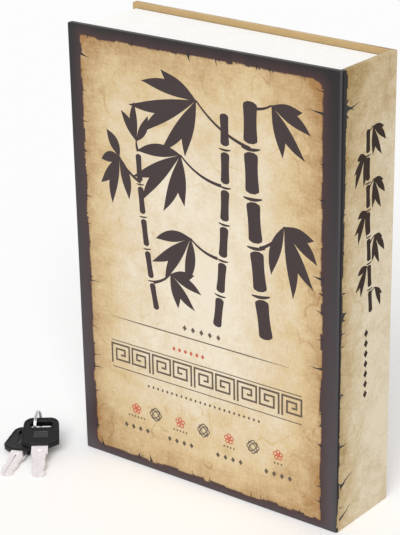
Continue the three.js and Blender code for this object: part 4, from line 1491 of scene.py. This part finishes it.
@dataclass
class SplitRing:
    """A small split ring: two turns of round wire side by side, drawn with its axis along Y."""

    radius: float = 7.6
    wire: float = 0.42
    pitch: float = 0.86
    turns: float = 1.93
    start: float = 0.7
    step_start: float = 0.82
    step_length: float = 0.3
    end_share: float = 0.3
    end_growth: float = 0.35
    steps: int = 220
    sides: int = 14

    def surface(self) -> np.ndarray:
        """Surface of the ring.

        The wire's middle is at angle a on the ring's circle, and its place along the axis moves by one
        pitch on a smooth step, s^2 (3 - 2s), where the second turn starts. Its ends taper.

        Returns:
            A grid of points.
        """
        angle = np.linspace(0, 2 * np.pi * self.turns, self.steps)
        step = np.clip((angle / (2 * np.pi) - self.step_start) / self.step_length, 0, 1)
        aside = self.pitch * (step * step * (3 - 2 * step) - 0.5)
        from_end = np.minimum(np.arange(self.steps), np.arange(self.steps)[::-1])
        thick = self.wire * np.clip(self.end_share + self.end_growth * from_end, 0, 1)
        spin = np.linspace(0, 2 * np.pi, self.sides, endpoint=False)
        radius = self.radius + thick[:, None] * np.cos(spin)
        turn = angle[:, None] - self.start
        side = aside[:, None] + thick[:, None] * np.sin(spin)
        return np.stack([radius * np.cos(turn), side, radius * np.sin(turn)], -1)


@dataclass
class Keys(SubAssembly):
    """Two keys with moulded heads on a small split ring."""

    finishes: Finishes = (
        # Nickel on brass blanks, bright plated and then cut: a pale, warm, uneven mirror.
        (Metal("nickel_plated_brass", "#e0d8d7", "#f6f0f0", grain=0.5, cloud=3, roughness=0.22),
         ("key_1_blade", "key_2_blade")),
    )
    places: tuple[Place, ...] = (
        Place(-106.7239, -66.1423, 3.9919, 24, 4.5316),
        Place(-100.3154, -63.3170, 10.4744, 40, 14.3230),
    )
    ring_place: Place = Place(-106.6, -59.8, 8.1, -58)
    head: KeyHead = field(default_factory=KeyHead)
    ring: SplitRing = field(default_factory=SplitRing)
    head_crease: float = 50
    ring_crease: float = 60

    def build(self) -> None:
        """Builds the heads and the ring, and gives the blades their plating."""
        # Black nylon, moulded in a spark-eroded tool: nearly black, with a fine pebble that softens it.
        plastic = Labelled(
            "black_moulded_nylon", "#0b0b0c", "#121213", grain=0.22, grain_depth=0.012, cloud=7,
            roughness=0.42, specular=0.22, patch_middle=(0, -self.head.label_drop),
            patch_size=self.head.label,
        ).make()
        # Spring steel wire, drawn and polished: bright, with a tight highlight along each turn.
        steel = Metal(
            "bright_spring_steel", "#c4c6c8", "#d9dadb", grain=0.4, grain_depth=0.002, cloud=3,
            roughness=0.18, roughness_spread=0.05,
        ).make()
        drawn = self.head.surface()
        for number, place in enumerate(self.places, 1):
            skin = Skin().grid(place.put(drawn), wrap_rows=True, wrap_columns=True, places=drawn[..., :2])
            made = skin.piece(f"key_{number}_moulded_head", [plastic], self.head_crease)
            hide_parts(f"key_{number}_head")
            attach(made, f"key_{number}")
        skin = Skin().grid(self.ring_place.put(self.ring.surface()), wrap_columns=True, ends=True)
        ring = skin.piece("split_ring_wire", [steel], self.ring_crease)
        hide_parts("split_ring")
        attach(ring, "key_ring")
        super().build()


# Studio


@dataclass(frozen=True)
class PaperSweep(Finish):
    """Matt white background paper without gloss, on which only shadow shows."""

    def inputs(self, add: Add) -> dict[str, Any]:
        """Gives the shader's inputs by name, without a node."""
        return {"Base Color": "#ffffff", "Roughness": 1.0, "Specular IOR Level": 0.0}


@dataclass
class Studio:
    """Pale floor, soft light and the camera."""

    eye: Triple = (510.21, -665.99, 458.575)
    right: Triple = (0.775825, 0.630698, -0.017792)
    up: Triple = (-0.230580, 0.309661, 0.922466)
    back: Triple = (0.587307, -0.711569, 0.385669)
    focal_pixels: float = 1778.46
    picture_height: int = 535
    sensor: float = 36
    near_limit: float = 0.05
    lamp_strength: float = 2.0
    lamp_spread: float = 40
    lamp_turn: Triple = (48, 0, 28)
    fill_strength: float = 0.55
    floor_half: float = 6000

    def camera(self) -> None:
        """Adds the camera and sets the view."""
        lens = bpy.data.cameras.new("camera")
        lens.sensor_fit = "VERTICAL"
        lens.sensor_height = self.sensor
        lens.lens = self.focal_pixels * self.sensor / self.picture_height
        lens.clip_start = self.near_limit
        camera = bpy.data.objects.new("camera", lens)
        turn = Matrix((self.right, self.up, self.back)).transposed().to_4x4()
        camera.matrix_world = Matrix.Translation([value * MM for value in self.eye]) @ turn
        scene = bpy.context.scene
        scene.collection.objects.link(camera)
        scene.camera = camera
        scene.view_settings.view_transform = "Standard"

    def light(self) -> None:
        """Adds the lamp and the world, which is white to the eye and in reflections and dimmer as light."""
        scene = bpy.context.scene
        lamp = bpy.data.lights.new("key_lamp", "SUN")
        lamp.energy = self.lamp_strength
        lamp.angle = np.radians(self.lamp_spread)
        key = bpy.data.objects.new("key_lamp", lamp)
        key.rotation_euler = np.radians(self.lamp_turn)
        scene.collection.objects.link(key)

        world = bpy.data.worlds.new("studio")
        world.use_nodes = True
        world.node_tree.nodes.clear()
        add = partial(add_node, world.node_tree)
        plain = add("Background", "#ffffff", self.fill_strength)
        seen = add("Background", "#ffffff", 1.0)
        rays = add("LightPath").outputs
        shown = rays["Is Camera Ray"]
        for ray in ("Is Glossy Ray", "Is Transmission Ray"):
            shown = add("Math.MAXIMUM", shown, rays[ray])
        add("OutputWorld", add("MixShader", shown, plain, seen))
        scene.world = world

    def build(self) -> None:
        """Builds the camera, the lamp, the world and the floor."""
        self.camera()
        self.light()
        side = self.floor_half
        corners = np.array([[(-side, -side, 0), (side, -side, 0)], [(-side, side, 0), (side, side, 0)]])
        Skin().grid(corners).piece("studio_floor", [PaperSweep("studio_floor").make()])


def main() -> None:
    """Builds the sub-assemblies in order."""
    logging.basicConfig(level=logging.INFO, format="%(message)s")
    for part in (Studio(), BookCase(), CasePrint(), PageBlock(), Strongbox(), CamLock(), Keys()):
        part.build()
        LOG.info("%s built", type(part).__name__)
    bpy.context.view_layer.update()


if __name__ == "__main__":
    main()
